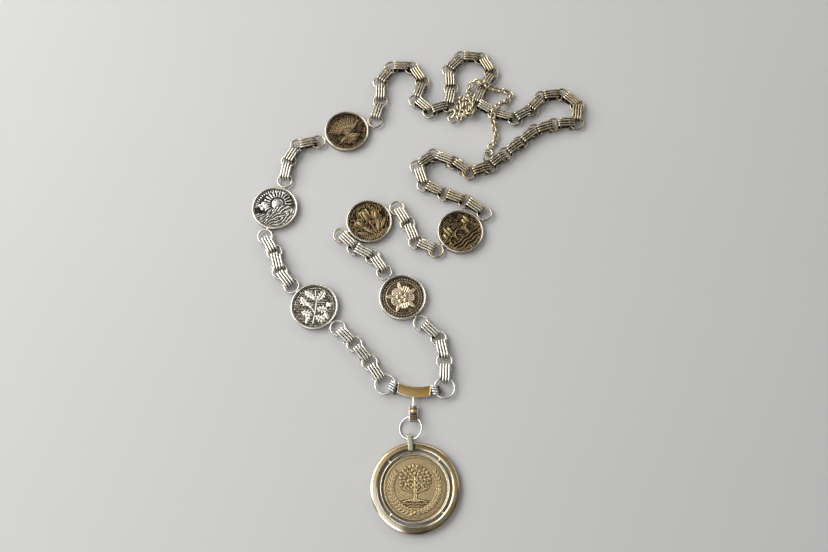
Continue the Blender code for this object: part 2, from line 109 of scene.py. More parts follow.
def gridFaces(rows, columns, wrapRows, wrapColumns):
    i = np.arange(rows if wrapRows else rows - 1)[:, None]
    j = np.arange(columns if wrapColumns else columns - 1)[None, :]
    nextI, nextJ = (i + 1) % rows, (j + 1) % columns
    return np.stack([i * columns + j + 0 * nextJ, i * columns + nextJ, nextI * columns + nextJ,
                     nextI * columns + j], -1).reshape(-1, 4)


# How far a wire's side faces outward, as a cosine, where its painted shade and tarnish start to fade
# and where they end.
wireShade = (-0.25, 0.92)


# A section carried along a path: point = path + a·across + b·(tangent x across), for each (a, b) of
# the section. Inward is a direction, or one for each path point; the side that faces it gets painted
# shade and tarnish.
def carried(path, across, section, closed=False, scale=None, inward=None):
    path = np.asarray(path, float)
    if closed:
        tangent = unit(np.roll(path, -1, 0) - np.roll(path, 1, 0))
    else:
        tangent = unit(np.gradient(path, axis=0))
    across = np.broadcast_to(np.asarray(across, float), path.shape)
    side = unit(across - (across * tangent).sum(1, keepdims=True) * tangent)
    up = np.cross(tangent, side)
    size = np.ones(len(path)) if scale is None else scale
    offsets = section[None, :, 0, None] * side[:, None] + section[None, :, 1, None] * up[:, None]
    points = path[:, None] + size[:, None, None] * offsets
    rows, columns = len(path), len(section)
    faces = [gridFaces(rows, columns, closed, True)]
    if not closed:
        ends = np.arange(columns)
        faces += [ends[None, ::-1], ends[None] + (rows - 1) * columns]
    shadeAndTarnish = np.zeros((rows, columns))
    if inward is not None:
        inward = np.broadcast_to(np.asarray(inward, float), path.shape)
        shadeAndTarnish = 1 - smoothStep(*wireShade, -(unit(offsets) * inward[:, None]).sum(-1))
    return surface(points.reshape(-1, 3), faces, shadeAndTarnish.ravel())


# Circle: cosine and sine of even angles times half the diameter.
def roundSection(diameter, sides):
    a = fullTurn(sides)
    return diameter / 2 * np.stack([np.cos(a), np.sin(a)], 1)


# Rounded rectangle: both axes of a circle drawn out by the power 2/p.
def strapSection(width, thickness, sides, power):
    a = fullTurn(sides, 0.5)
    return np.stack([width / 2 * signedPower(np.cos(a), 2 / power),
                     thickness / 2 * signedPower(np.sin(a), 2 / power)], 1)


# Rounded wire ends: extra path points past each end whose size is the cosine of an angle and whose
# distance is its sine.
def withRoundEnds(path, wire):
    a = np.radians((78.0, 55.0, 28.0))
    start = path[0] - unit(path[1] - path[0]) * (wire / 2 * np.sin(a))[:, None]
    end = path[-1] + unit(path[-1] - path[-2]) * (wire / 2 * np.sin(a[::-1]))[:, None]
    size = np.concatenate([np.cos(a), np.ones(len(path)), np.cos(a[::-1])])
    return np.vstack([start, path, end]), size


# Steps along a path; bend, in mm for each radian of turning, draws them closer where the path bends.
def evenSteps(path, count, bend=0.0):
    step = np.linalg.norm(np.diff(path, axis=0), axis=1)
    turning = np.linalg.norm(np.diff(unit(np.gradient(path, axis=0)), axis=0), axis=1)
    along = np.concatenate([[0], np.cumsum(step + bend * turning)])
    return np.stack([np.interp(np.linspace(0, along[-1], count), along, path[:, k]) for k in range(3)], 1)


# Ring: a round section carried round a circle; its lower side gets painted shade and tarnish.
def ringShape(radius, wire, steps=56, sides=14):
    a = fullTurn(steps)
    path = np.stack([radius * np.cos(a), radius * np.sin(a), 0 * a], 1)
    return carried(path, (0, 0, 1), roundSection(wire, sides), closed=True, inward=(0, 0, -1))


# Arc of a profile: its centre plus size times the cosine and sine.
def arcProfile(radius, height, size, start, end, count):
    a = np.radians(np.linspace(start, end, count))
    return [(radius + size * math.cos(t), height + size * math.sin(t)) for t in a]


# A profile of radius and height turned round Z; it runs outward over the top and down the outside.
def turnedShape(profile, steps, start=0.0, end=360.0, shadeAndTarnish=None):
    profile = np.asarray(profile, float)
    whole = end - start >= 360
    a = np.radians(np.linspace(start, end, steps, endpoint=not whole))
    r, z = profile[:, :1], profile[:, 1:]
    points = np.stack([r * np.cos(a), r * np.sin(a), z + 0 * a], -1)
    rows, columns = len(profile), steps
    faces = [gridFaces(rows, columns, True, whole)[:, ::-1]]
    if not whole:
        first = np.arange(rows) * columns
        faces += [first[None], first[None, ::-1] + columns - 1]
    marks = np.zeros(rows) if shadeAndTarnish is None else np.asarray(shadeAndTarnish, float)
    return surface(points.reshape(-1, 3), faces, np.repeat(marks, columns))


wallShade = 0.6


# A sheet of points (rows along x, columns along y) closed by a wall down to bottom and a flat base.
def closedSheet(top, bottom, shadeAndTarnish):
    rows, columns = top.shape[:2]
    number = np.arange(rows * columns).reshape(rows, columns)
    loop = np.concatenate([number[:-1, 0], number[-1, :-1], number[:0:-1, -1], number[0, :0:-1]])
    points = top.reshape(-1, 3)
    wall = points[loop] * (1, 1, 0) + (0, 0, bottom)
    low = len(points) + np.arange(len(loop))
    hub = np.append(points.mean(0)[:2], bottom)
    nextLoop, nextLow = np.roll(loop, -1), np.roll(low, -1)
    faces = [gridFaces(rows, columns, False, False)[:, ::-1],
             np.stack([loop, low, nextLow, nextLoop], 1),
             np.stack([nextLow, low, np.full(len(loop), low[-1] + 1)], 1)]
    marks = np.concatenate([shadeAndTarnish.ravel(), np.full(len(loop) + 1, wallShade)])
    return surface(np.vstack([points, wall, hub]), faces, marks)


def addObject(name, data):
    made = bpy.data.objects.new(name, data)
    bpy.context.scene.collection.objects.link(made)
    return made


# Edges that turn more than this many degrees stay sharp.
sharpEdge = 58


def makePiece(name, shape, finish, slot, *nodes):
    mesh = bpy.data.meshes.new(name)
    points = (shape["points"] - layoutMiddle) * mm
    corners = np.concatenate([f.ravel() for f in shape["faces"]])
    sizes = np.concatenate([np.full(len(f), f.shape[1]) for f in shape["faces"]])
    mesh.vertices.add(len(points))
    mesh.vertices.foreach_set("co", points.astype(np.float32).ravel())
    mesh.loops.add(len(corners))
    mesh.loops.foreach_set("vertex_index", corners.astype(np.int32))
    mesh.polygons.add(len(sizes))
    mesh.polygons.foreach_set("loop_start", (np.cumsum(sizes) - sizes).astype(np.int32))
    mesh.update(calc_edges=True)
    for mark in ("shadeAndTarnish", "tone"):
        layer = mesh.attributes.new(mark, "FLOAT", "POINT")
        layer.data.foreach_set("value", shape[mark].astype(np.float32))
    mesh.shade_smooth()
    mesh.set_sharp_from_angle(angle=math.radians(sharpEdge))
    mesh.materials.append(finishes[finish])
    piece = addObject(name, mesh)
    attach(piece, "root")
    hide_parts(*nodes)


# Materials. Every metal is the same idea: a polished colour on the open places, a dark one where the
# mark of painted shade and tarnish and slow patches say so, fine scratches, and a little pitting.

# Inputs are values or the sockets that feed them.
def addNode(tree, kind, inputs=(), **settings):
    made = tree.nodes.new(kind)
    for name, value in settings.items():
        setattr(made, name, value)
    for name, value in dict(inputs).items():
        if isinstance(value, bpy.types.NodeSocket):
            tree.links.new(value, made.inputs[name])
        else:
            made.inputs[name].default_value = value
    return made


def calc(tree, operation, *inputs, **settings):
    return addNode(tree, "ShaderNodeMath", enumerate(inputs), operation=operation, **settings).outputs[0]


def blend(tree, factor, first, second):
    return addNode(tree, "ShaderNodeMix", {"Factor": factor, "A": first, "B": second},
                   data_type="RGBA").outputs["Result"]


def noiseValue(tree, place, scale, detail, roughness=0.5):
    values = {"Vector": place, "Scale": scale, "Detail": detail, "Roughness": roughness}
    return addNode(tree, "ShaderNodeTexNoise", values).outputs["Fac"]


# Inputs: name and first value, a colour or a number. Outputs: name and kind.
def startGroup(name, inputs, outputs):
    group = bpy.data.node_groups.new(name, "ShaderNodeTree")
    for label, value in inputs.items():
        kind = "NodeSocketColor" if isinstance(value, tuple) else "NodeSocketFloat"
        group.interface.new_socket(label, in_out="INPUT", socket_type=kind).default_value = value
    for label, kind in outputs.items():
        group.interface.new_socket(label, in_out="OUTPUT", socket_type=kind)
    return group, addNode(group, "NodeGroupInput").outputs


# Old metal: the mark of painted shade and tarnish plus noise patches give a mask from open to dark,
# for painted shade and tarnish alike; it mixes the colours and the roughness.
def makeOldMetalGroup():
    group, given = startGroup(
        "oldMetal",
        {"Bright": (0.8, 0.8, 0.8, 1), "Brown": (0.5, 0.4, 0.3, 1), "Tarnish And Shade": (0.1, 0.1, 0.1, 1),
         "Patch Size": 220.0, "Patches": 0.35, "Depth": 1.0, "Polish": 0.22, "Dullness": 0.35},
        {"Color": "NodeSocketColor", "Roughness": "NodeSocketFloat"})
    place = addNode(group, "ShaderNodeTexCoord").outputs["Object"]
    shadeAndTarnish, tone = (addNode(group, "ShaderNodeAttribute", attribute_name=mark).outputs["Fac"]
                    for mark in ("shadeAndTarnish", "tone"))
    patch = noiseValue(group, place, given["Patch Size"], 5.0, 0.6)
    spread = calc(group, "MULTIPLY", calc(group, "SUBTRACT", patch, 0.5), given["Patches"])
    mask = calc(group, "MULTIPLY_ADD", shadeAndTarnish, given["Depth"], spread, use_clamp=True)
    bare = blend(group, tone, given["Bright"], given["Brown"])
    addNode(group, "NodeGroupOutput", {
        "Color": blend(group, mask, bare, given["Tarnish And Shade"]),
        "Roughness": calc(group, "MULTIPLY_ADD", mask, given["Dullness"], given["Polish"])})
    return group


# Fine scratches: noise stretched along two directions, only its peaks kept, plus a fine even grain.
def makeScratchesGroup():
    group, given = startGroup(
        "scratches", {"Scale": 900.0, "Scratch Depth": 0.4, "Grain": 0.3, "Grain Size": 3000.0},
        {"Height": "NodeSocketFloat"})
    place = addNode(group, "ShaderNodeTexCoord").outputs["Object"]
    lines = []
    for turn in (25.0, 118.0):
        stretched = addNode(group, "ShaderNodeMapping", {
            "Vector": place, "Rotation": (0, 0, math.radians(turn)), "Scale": (0.06, 1.0, 1.0)}).outputs[0]
        lines.append(addNode(group, "ShaderNodeMapRange", {
            "Value": noiseValue(group, stretched, given["Scale"], 2.0), "From Min": 0.60,
            "From Max": 0.72}).outputs[0])
    cut = calc(group, "MULTIPLY", calc(group, "MAXIMUM", *lines), given["Scratch Depth"])
    grain = noiseValue(group, place, given["Grain Size"], 3.0, 0.65)
    grain = calc(group, "MULTIPLY", grain, given["Grain"])
    addNode(group, "NodeGroupOutput", {"Height": calc(group, "SUBTRACT", grain, cut)})
    return group


oldMetal = makeOldMetalGroup()
scratches = makeScratchesGroup()


def startMaterial(name):
    finish = bpy.data.materials.new(name)
    finish.use_nodes = True
    return finish, finish.node_tree, finish.node_tree.nodes["Principled BSDF"].inputs


# Each value goes to the group with an input of that name; the others keep the group's own.
def makeMetal(name, bright, brown, tarnishAndShade, values, bump=0.12):
    finish, tree, shader = startMaterial(name)
    shader["Metallic"].default_value = 1.0
    aged, wearAndSheen = (addNode(tree, "ShaderNodeGroup", node_tree=group) for group in (oldMetal, scratches))
    colours = {"Bright": (*bright, 1), "Brown": (*brown, 1), "Tarnish And Shade": (*tarnishAndShade, 1)}
    for label, value in {**colours, **values}.items():
        (aged if label in aged.inputs else wearAndSheen).inputs[label].default_value = value
    relief = addNode(tree, "ShaderNodeBump",
                     {"Height": wearAndSheen.outputs["Height"], "Strength": bump, "Distance": 0.0002})
    tree.links.new(aged.outputs["Color"], shader["Base Color"])
    tree.links.new(aged.outputs["Roughness"], shader["Roughness"])
    tree.links.new(relief.outputs["Normal"], shader["Normal"])
    return finish


# Each metal: its bright and brown colours, its dark colour for tarnish and painted shade, the values that
# differ from the groups' own, and the strength of its bump where that is not the usual one.
metals = {
    "chainSilver": ((0.95, 0.90, 0.78), (0.56, 0.41, 0.20), (0.022, 0.018, 0.012), {"Patches": 0.16}),
    "rimSilver": ((0.94, 0.88, 0.76), (0.62, 0.48, 0.28), (0.030, 0.024, 0.016), {"Patches": 0.16}),
    "safetySilver": ((0.93, 0.81, 0.58), (0.62, 0.50, 0.28), (0.03, 0.022, 0.014),
                     {"Polish": 0.20, "Patches": 0.15}),
    "brightSilver": ((0.97, 0.95, 0.91), (0.62, 0.54, 0.38), (0.035, 0.03, 0.024),
                     {"Polish": 0.24, "Patches": 0.12, "Depth": 0.9}),
    "bandGold": ((0.94, 0.86, 0.71), (0.80, 0.62, 0.34), (0.05, 0.034, 0.016),
                 {"Polish": 0.21, "Dullness": 0.08, "Patch Size": 60.0, "Patches": 0.25, "Depth": 0.95,
                  "Scratch Depth": 0.5}),
    "bezelGold": ((0.94, 0.84, 0.61), (0.66, 0.50, 0.28), (0.04, 0.03, 0.016),
                  {"Polish": 0.24, "Patch Size": 120.0, "Patches": 0.2}),
    "bailGold": ((0.96, 0.90, 0.66), (0.66, 0.50, 0.28), (0.05, 0.038, 0.02),
                 {"Polish": 0.29, "Patch Size": 120.0, "Patches": 0.2, "Depth": 0.8}),
    "barGold": ((0.94, 0.86, 0.64), (0.84, 0.49, 0.124), (0.07, 0.045, 0.016),
                {"Polish": 0.26, "Patch Size": 90.0, "Patches": 0.2, "Depth": 0.9}),
    "headGold": ((0.64, 0.525, 0.34), (0.54, 0.31, 0.155), (0.035, 0.026, 0.012),
                 {"Polish": 0.45, "Patch Size": 150.0, "Patches": 0.25, "Depth": 0.95}),
    "faceGold": ((0.71, 0.54, 0.295), (0.50, 0.36, 0.18), (0.06, 0.040, 0.018),
                 {"Polish": 0.36, "Dullness": 0.25, "Patch Size": 160.0, "Patches": 0.25, "Depth": 0.9,
                  "Grain": 1.0, "Grain Size": 2600.0}, 0.5)}
finishes = {name: makeMetal(name, *look) for name, look in metals.items()}
discLook = {"Dullness": 0.3, "Patch Size": 260.0, "Patches": 0.45, "Grain": 0.8, "Grain Size": 2400.0}
discBump = 0.25


# The camera and the light.
camera = {"place": (-0.0059, -0.1988, 0.5490), "tilt": 19.5, "lens": 36.96, "sensor": 36.0}
view = addObject("camera", bpy.data.cameras.new("camera"))
view.location = camera["place"]
view.rotation_euler = (math.radians(camera["tilt"]), 0, 0)
view.data.lens = camera["lens"]
view.data.sensor_width = camera["sensor"]
bpy.context.scene.camera = view

# Each light: place, size across and along, watts, and the point it looks at.
light = {"room": 0.09, "windows": (
    ((-1.25, 0.45, 1.05), 1.8, 1.3, 33.0, (0, 0, 0)),
    ((-0.40, -0.05, 1.30), 0.7, 0.6, 0.9, (-0.3, -0.05, 0)),
    ((-0.34, -0.50, 1.15), 0.50, 0.50, 1.1, (0, -0.15, 0)),
    ((-0.70, -1.05, 0.72), 1.0, 0.4, 3.4, (0, -0.05, 0)),
    ((0.10, 1.15, 0.72), 1.8, 0.3, 3.6, (0, 0.1, 0)),
    ((0.95, 0.35, 0.75), 0.7, 0.4, 1.2, (0, 0, 0)),
    ((0.10, 0.0, 1.30), 0.18, 0.24, 0.11, (0.10, 0.0, 0)))}
for number, (place, width, length, watts, target) in enumerate(light["windows"]):
    lamp = bpy.data.lights.new(f"window{number}", "AREA")
    lamp.shape, lamp.size, lamp.size_y, lamp.energy = "RECTANGLE", width, length, watts
    holder = addObject(f"window{number}", lamp)
    holder.location = place
    back = np.array(place) - np.array(target)
    holder.rotation_euler = (math.acos(back[2] / np.linalg.norm(back)), 0,
                             math.atan2(back[1], back[0]) + math.pi / 2)
world = bpy.data.worlds.new("room")
world.use_nodes = True
world.node_tree.nodes["Background"].inputs["Color"].default_value = (*([light["room"]] * 3), 1)
bpy.context.scene.world = world
bpy.context.scene.view_settings.view_transform = "Standard"

# The floor: half its side in metres, the two colours that soft clouds mix, and the clouds' scale.
floorLook = {"half": 3.0, "dark": (0.59, 0.585, 0.575, 1), "pale": (0.615, 0.61, 0.60, 1), "clouds": 6.0,
             "roughness": 0.85}


def makeFloor():
    finish, tree, shader = startMaterial("paleFloor")
    shader["Roughness"].default_value = floorLook["roughness"]
    place = addNode(tree, "ShaderNodeTexCoord").outputs["Object"]
    cloud = noiseValue(tree, place, floorLook["clouds"], 3.0)
    tree.links.new(blend(tree, cloud, floorLook["dark"], floorLook["pale"]), shader["Base Color"])
    mesh = bpy.data.meshes.new("floor")
    half = floorLook["half"]
    mesh.from_pydata([(-half, -half, 0), (half, -half, 0), (half, half, 0), (-half, half, 0)], [],
                     [(0, 1, 2, 3)])
    mesh.materials.append(finish)
    floor = addObject("floor", mesh)


makeFloor()
print("camera, light and floor made")


# Barrel links: one wire wound three and a half times into a flattened coil that hooks round a ring at
# each end. Sway is how many degrees a link rolls and tips, pace how fast that changes across the chain.
barrel = {"length": 13.0, "height": 5.8, "wire": 1.25, "wireWidth": 1.40, "corners": 8.0, "pitch": 1.86,
          "turnStart": 80.0, "turnEnd": 1349.4, "firstStrand": -2.8, "slant": 0.1, "tail": 0.6, "open": 3.4,
          "steps": 146, "sides": 12, "restHeight": 0.28, "sway": (3.0, 1.5), "pace": (1.7, 2.3)}
ring = {"radius": 4.95, "wire": 1.42, "height": 2.3}
bigRing = {"radius": 6.6, "wire": 1.35, "height": 2.4, "left": (-24.3, -78.8), "right": (14.45, -81.3)}
# Winding: steps of the first line, how steps close up at bends, how low and how long the first end dips,
# and the share of painted shade and tarnish that the open side loses, over what width.
winding = {"line": 2600, "bend": 2.6, "dip": 0.45, "dipLength": 1.8, "openLoss": 0.75, "openWidth": 0.5}


# Coil line: s = a·cos and z = b·sin of the winding angle, each drawn out by the power 2/p, while v moves
# on by one pitch a turn; slant is the share of that move made on the top side alone. The first end
# stands a little low, and the last lies on the floor and points outward.
def coilShape(made):
    half = (made["length"] - made["wire"]) / 2
    halfHigh = (made["height"] - made["wire"]) / 2
    angle = np.linspace(made["turnStart"], made["turnEnd"], winding["line"])
    c, s = np.cos(np.radians(angle)), np.sin(np.radians(angle))
    x = half * signedPower(c, 2 / made["corners"])
    z = halfHigh * signedPower(s, 2 / made["corners"])
    onTop = np.floor(angle / 360) + np.where(s > 0, (1 - x / half) / 2, 1) - 0.5
    turns = (1 - made["slant"]) * (angle - 90) / 360 + made["slant"] * onTop
    y = made["firstStrand"] + made["pitch"] * turns
    z = z - winding["dip"] * smoothStep(x[0] - winding["dipLength"], x[0], x) * (angle < 150)
    y = y + made["tail"] * smoothStep(-0.8 * half, x[-1], x) * (angle > made["turnEnd"] - 90)
    path = evenSteps(np.stack([x, y, z + made["height"] / 2], 1), made["steps"], winding["bend"])
    path, size = withRoundEnds(path, made["wire"])
    # the sides that face the coil's core get painted shade and tarnish, darkest between the strands
    core = np.clip(path[:, 0], halfHigh - half, half - halfHigh)
    inward = unit(np.stack([core - path[:, 0], 0 * core, made["height"] / 2 - path[:, 2]], 1))
    section = roundSection(made["wire"], made["sides"]) * (made["wireWidth"] / made["wire"], 1)
    shape = carried(path, (0, 1, 0), section, scale=size, inward=inward)
    opening = smoothStep(made["open"], made["open"] + winding["openWidth"], shape["points"][:, 1])
    shape["shadeAndTarnish"] *= 1 - winding["openLoss"] * opening
    return shape


barrelShape = coilShape(barrel)


# A link lies on the line between two ring centres, moved along it by slide.
def linkBetween(start, end, slide, tone):
    turn = heading(start, end)
    x, y = polar((start[0] + end[0]) / 2, (start[1] + end[1]) / 2, slide, turn)
    lean = (turnMatrix("x", barrel["sway"][0] * math.sin(barrel["pace"][0] * x + y))
            @ turnMatrix("y", barrel["sway"][1] * math.sin(barrel["pace"][1] * y)))
    return toned(moved(barrelShape, (x, y, barrel["restHeight"]), turnMatrix("z", turn) @ lean), tone)


def ringAt(x, y, tone=0.0):
    return toned(moved(ringShape(ring["radius"], ring["wire"]), (x, y, ring["height"])), tone)


# Medallions in chain order: x, y, direction of the outgoing ring.
medallions = {
    "left_low": (-72.5, -25.8, 137.5), "left_mid": (-103.0, 46.5, 75.0),
    "left_high": (-54.2, 107.5, 22.5), "right_high": (26.8, 28.7, 219.0),
    "right_mid": (-36.7, 36.5, 208.0), "right_low": (-13.2, -19.2, -55.3)}
solderedRing = 22.0

# Runs of three links: where the first ring is, two free rings, where the last ring is, and slides.
frontRuns = {
    "left_front": ("big left", (-34.7, -64.1), (-45.0, -51.6), "in left_low", (0.9, -0.1, 0.0)),
    "left_middle": ("out left_low", (-97.1, -0.6), (-101.6, 13.5), "in left_mid", (0.0, 0.0, 0.0)),
    "left_back": ("out left_mid", (-95.3, 83.6), (-89.4, 95.6), "in left_high", (-0.2, -0.8, 0.2)),
    "right_back": ("out right_high", (-4.1, 21.1), (-10.0, 35.0), "in right_mid", (-0.2, 0.0, 0.0)),
    "right_middle": ("out right_mid", (-46.4, 16.7), (-33.7, 10.0), "in right_low", (0.0, 0.0, 0.2)),
    "right_front": ("out right_low", (11.0, -47.9), (14.6, -63.4), "big right", (0.0, -0.2, -1.0))}
# Tones of a run's three links where they are not 0; a free ring has the tone of the link after it.
frontTones = {"left_back": (0.0, 0.1, 0.5), "right_back": (0.35, 0.3, 0.3),
              "right_middle": (0.15, 0.1, 0.2)}

# Free rings of the neck run: x, y, slide of the link before the ring, and that link's tone.
neckRings = [
    (-30.1, 131.9, -0.2, 0.1), (-30.5, 148.3, -0.2, 0.1), (-22.2, 161.1, -0.6, 0.2),
    (-7.2, 161.0, 0.4, 0.5), (0.8, 148.5, 0.4, 0.6), (-4.0, 132.8, -0.2, 0.3), (6.2, 123.5, 0.2, 0.2),
    (19.7, 128.6, 0.4, 0.2), (21.9, 142.9, 0.6, 0.2), (20.8, 158.8, -0.2, 0.3), (29.8, 170.1, 0.0, 0.4),
    (44.8, 169.2, 0.4, 0.6), (52.1, 156.2, 0.2, 0.6), (45.2, 144.2, 1.0, 0.4), (40.4, 130.2, 0.4, 0.2),
    (53.8, 121.9, 0.0, 0.2), (68.2, 117.7, -0.2, 0.3), (80.3, 125.2, 0.0, 0.3), (88.5, 135.7, -0.2, 0.5),
    (104.1, 137.8, 0.0, 0.7), (114.3, 128.6, 1.0, 0.7), (112.9, 114.5, -0.8, 0.7), (96.8, 113.0, -0.2, 0.6),
    (82.4, 108.2, 0.0, 0.6), (71.1, 98.1, -0.6, 0.5), (60.5, 89.2, -1.0, 0.5), (48.7, 79.3, 0.0, 0.4),
    (34.4, 74.0, -0.6, 0.8), (23.5, 82.1, 1.0, 0.5), (8.9, 88.1, -0.2, 0.3), (-3.1, 78.8, -0.2, 0.3),
    (1.9, 64.6, 0.4, 0.2), (16.4, 57.2, -0.2, 0.5), (30.8, 51.8, 0.0, 0.7)]
lastNeckLink = (-0.2, 0.4)
neckSections = (0, 9, 16, 23, 29, 35)
# The run's tone = least + span · the tone above, and its marks of painted shade and tarnish are made
# deeper by shade, which darkens the gaps between strands.
neckLook = {"least": 0.24, "span": 0.68, "shade": 1.3}


def anchor(name):
    side, owner = name.split()
    if side == "big":
        return bigRing[owner]
    x, y, turn = medallions[owner]
    return polar(x, y, solderedRing if side == "out" else -solderedRing, turn)


def makeFrontRuns():
    for run, (first, ring1, ring2, last, slides) in frontRuns.items():
        centres = [anchor(first), ring1, ring2, anchor(last)]
        tones = frontTones.get(run, (0.0, 0.0, 0.0))
        for i in range(3):
            link = linkBetween(centres[i], centres[i + 1], slides[i], tones[i])
            makePiece(f"coil_{run}_{i + 1}", link, "chainSilver", "chain_silver", f"link_{run}_{i + 1}")
        for i in (1, 2):
            makePiece(f"round_{run}_{i}", ringAt(*centres[i], tones[i]), "chainSilver", "chain_silver",
                      f"ring_{run}_{i}")


def makeNeckRun():
    centres = [anchor("out left_high")] + [row[:2] for row in neckRings] + [anchor("in right_high")]
    slides = [(slide, neckLook["least"] + neckLook["span"] * tone)
              for slide, tone in [row[2:] for row in neckRings] + [lastNeckLink]]
    for section, (start, end) in enumerate(zip(neckSections, neckSections[1:])):
        shapes = []
        for i in range(start, end):
            link = linkBetween(centres[i], centres[i + 1], *slides[i])
            shapes.append({**link, "shadeAndTarnish": np.minimum(neckLook["shade"] * link["shadeAndTarnish"], 1)})
            if i < len(slides) - 1:
                shapes.append(ringAt(*centres[i + 1], slides[i][1]))
        makePiece(f"neck_coils_{section + 1}", joined(shapes), "chainSilver", "chain_silver",
                  f"neck_run_{section + 1}")


makeFrontRuns()
makeNeckRun()
print("links and rings made")


# Tools for low relief. Distances are negative inside a shape.

# Plateau: full height inside, with a smooth step down across the edge.
def rise(distance, height, edge=0.5):
    return height * (1 - smoothStep(-edge, edge * 0.4, distance))


# Dome: a quarter circle that starts at the edge and is level at reach inside it.
def dome(distance, reach, height):
    t = np.clip(-distance / reach, 0, 1)
    return height * np.sqrt(1 - (1 - t) ** 2)


def localAxes(x, y, cx, cy, turn):
    c, s = cosSin(turn)
    return (x - cx) * c + (y - cy) * s, (y - cy) * c - (x - cx) * s


def makeNoise(seed, size=64):
    table = np.random.default_rng(seed).random((size, size))

    # Value noise: four neighbouring table values mixed by smooth weights.
    def noise(x, y):
        i, j = np.floor(x).astype(int), np.floor(y).astype(int)
        u, v = x - i, y - j
        u, v = u * u * (3 - 2 * u), v * v * (3 - 2 * v)
        a, b = table[i % size, j % size], table[(i + 1) % size, j % size]
        c, d = table[i % size, (j + 1) % size], table[(i + 1) % size, (j + 1) % size]
        return (a * (1 - u) + b * u) * (1 - v) + (c * (1 - u) + d * u) * v
    return noise


grit = makeNoise(11)


# A relief in the making: x and y of its points, and their heights so far. Add, ground, leaf, beads and
# dentils raise the points under a shape, put sets the chosen ones, and the rest only measure.
class Relief:
    def __init__(self, x, y):
        self.x, self.y, self.height = x, y, 0 * x

    def add(self, height):
        self.height = np.maximum(self.height, height)

    def put(self, chosen, height):
        self.height = np.where(chosen, height, self.height)

    # Rough ground: noise of the given height over a least height.
    def ground(self, height, pace, least=0.0):
        self.add(least + height * grit(self.x * pace, self.y * pace))

    # Ground lines: a cosine across one direction, waved and broken up by noise.
    def hatching(self, turn, pitch, height):
        u, v = localAxes(self.x, self.y, 0, 0, turn)
        line = smoothStep(0.0, 0.8, np.cos(2 * np.pi * (v + 0.6 * grit(u * 0.4, v * 0.4)) / pitch))
        return height * line * smoothStep(0.25, 0.55, grit(u * 0.8 + 7, v * 1.9))

    def awayFrom(self, cx, cy):
        return np.hypot(self.x - cx, self.y - cy)

    # Oval: length of the local axes over its half sizes, less one, in units of the smaller.
    def ovalEdge(self, cx, cy, rx, ry, turn=0.0):
        u, v = localAxes(self.x, self.y, cx, cy, turn)
        return (np.hypot(u / rx, v / ry) - 1) * min(rx, ry)

    # Bar with round ends: the distance to the nearest point of its middle line, less half its width.
    def barEdge(self, x0, y0, x1, y1, half):
        dx, dy = x1 - x0, y1 - y0
        t = np.clip(((self.x - x0) * dx + (self.y - y0) * dy) / (dx * dx + dy * dy), 0, 1)
        return np.hypot(self.x - x0 - t * dx, self.y - y0 - t * dy) - half

    # Leaf: half its width is a sine along its length, waved by lobes; a vein is cut down its middle.
    def leaf(self, cx, cy, length, width, turn, height, lobes=0):
        u, v = localAxes(self.x, self.y, cx, cy, turn)
        t = np.clip(u / length + 0.5, 0, 1)
        wave = 1 + 0.3 * np.cos(2 * np.pi * lobes * t) * (lobes > 0)
        half = width / 2 * np.sin(np.pi * t) ** 0.8 * wave
        vein = np.exp(-(v / 0.16) ** 2)
        vein = vein + 0.5 * np.exp(-(np.sin(6.0 * t * np.pi + 2.2 * np.abs(v)) / 0.35) ** 2)
        self.add(dome(np.abs(v) - half, 0.8, height) * (np.abs(u) < length / 2) * (1 - 0.45 * vein))

    # Beads on an arc: distance to the nearest of evenly spaced points.
    def beads(self, radius, start, end, count, size, height=0.45):
        angle = np.degrees(np.arctan2(self.y, self.x)) % 360
        span = (end - start) / (count - 1)
        past = (angle - start + 180) % 360 - 180 if end - start < 180 else (angle - start) % 360
        near = start + span * np.clip(np.round(past / span), 0, count - 1)
        away = self.awayFrom(radius * np.cos(np.radians(near)), radius * np.sin(np.radians(near)))
        self.add(dome(away - size, size, height))

    # Short bars across an arc: a steep cosine of the angle, kept near the radius.
    def dentils(self, radius, start, end, step, height):
        angle = np.degrees(np.arctan2(self.y, self.x)) % 360
        inside = ((angle - start) % 360 < end - start) & (np.abs(self.awayFrom(0, 0) - radius) < 0.75)
        self.add(height * smoothStep(-0.3, 0.3, np.cos(np.radians(angle * 360 / step))) * inside)


# Bars for the wood, lobed leaves, and acorns of two ovals, the cup with scales of two cosines.
def oakBranch(relief):
    relief.ground(0.16, 2.2)
    relief.add(relief.hatching(-50, 1.5, 0.22))
    for ends in ((-8.5, -6.5, -3, -3.2), (-3, -3.2, 3, 1), (3, 1, 8, 6.5), (-3, -3.2, -1, 3),
                 (3, 1, 6, -3)):
        relief.add(rise(relief.barEdge(*ends, 0.45), 0.45))
    for cx, cy, turn in ((-6.2, 0.4, 115), (-1.8, 7.0, 75), (3.8, 7.4, 95), (8.2, 1.2, 10),
                         (-3.4, -8.0, -80), (1.8, -5.2, -60)):
        relief.leaf(cx, cy, 7.6, 4.6, turn, 0.7, 4)
    scales = 0.85 + 0.15 * np.cos(9 * relief.x) * np.cos(9 * relief.y)
    for cx, cy, turn in ((-9.0, -2.6, 200), (6.8, -6.2, -55), (-1.0, 2.6, 100), (4.6, 2.9, 130),
                         (0.4, -9.6, -100)):
        relief.add(dome(relief.ovalEdge(*polar(cx, cy, 0.7, turn), 2.1, 1.45, turn), 1.3, 0.95))
        relief.add(dome(relief.ovalEdge(*polar(cx, cy, -1.0, turn), 1.1, 1.75, turn), 0.9, 0.85) * scales)
    relief.beads(11.9, 300, 500, 34, 0.34)


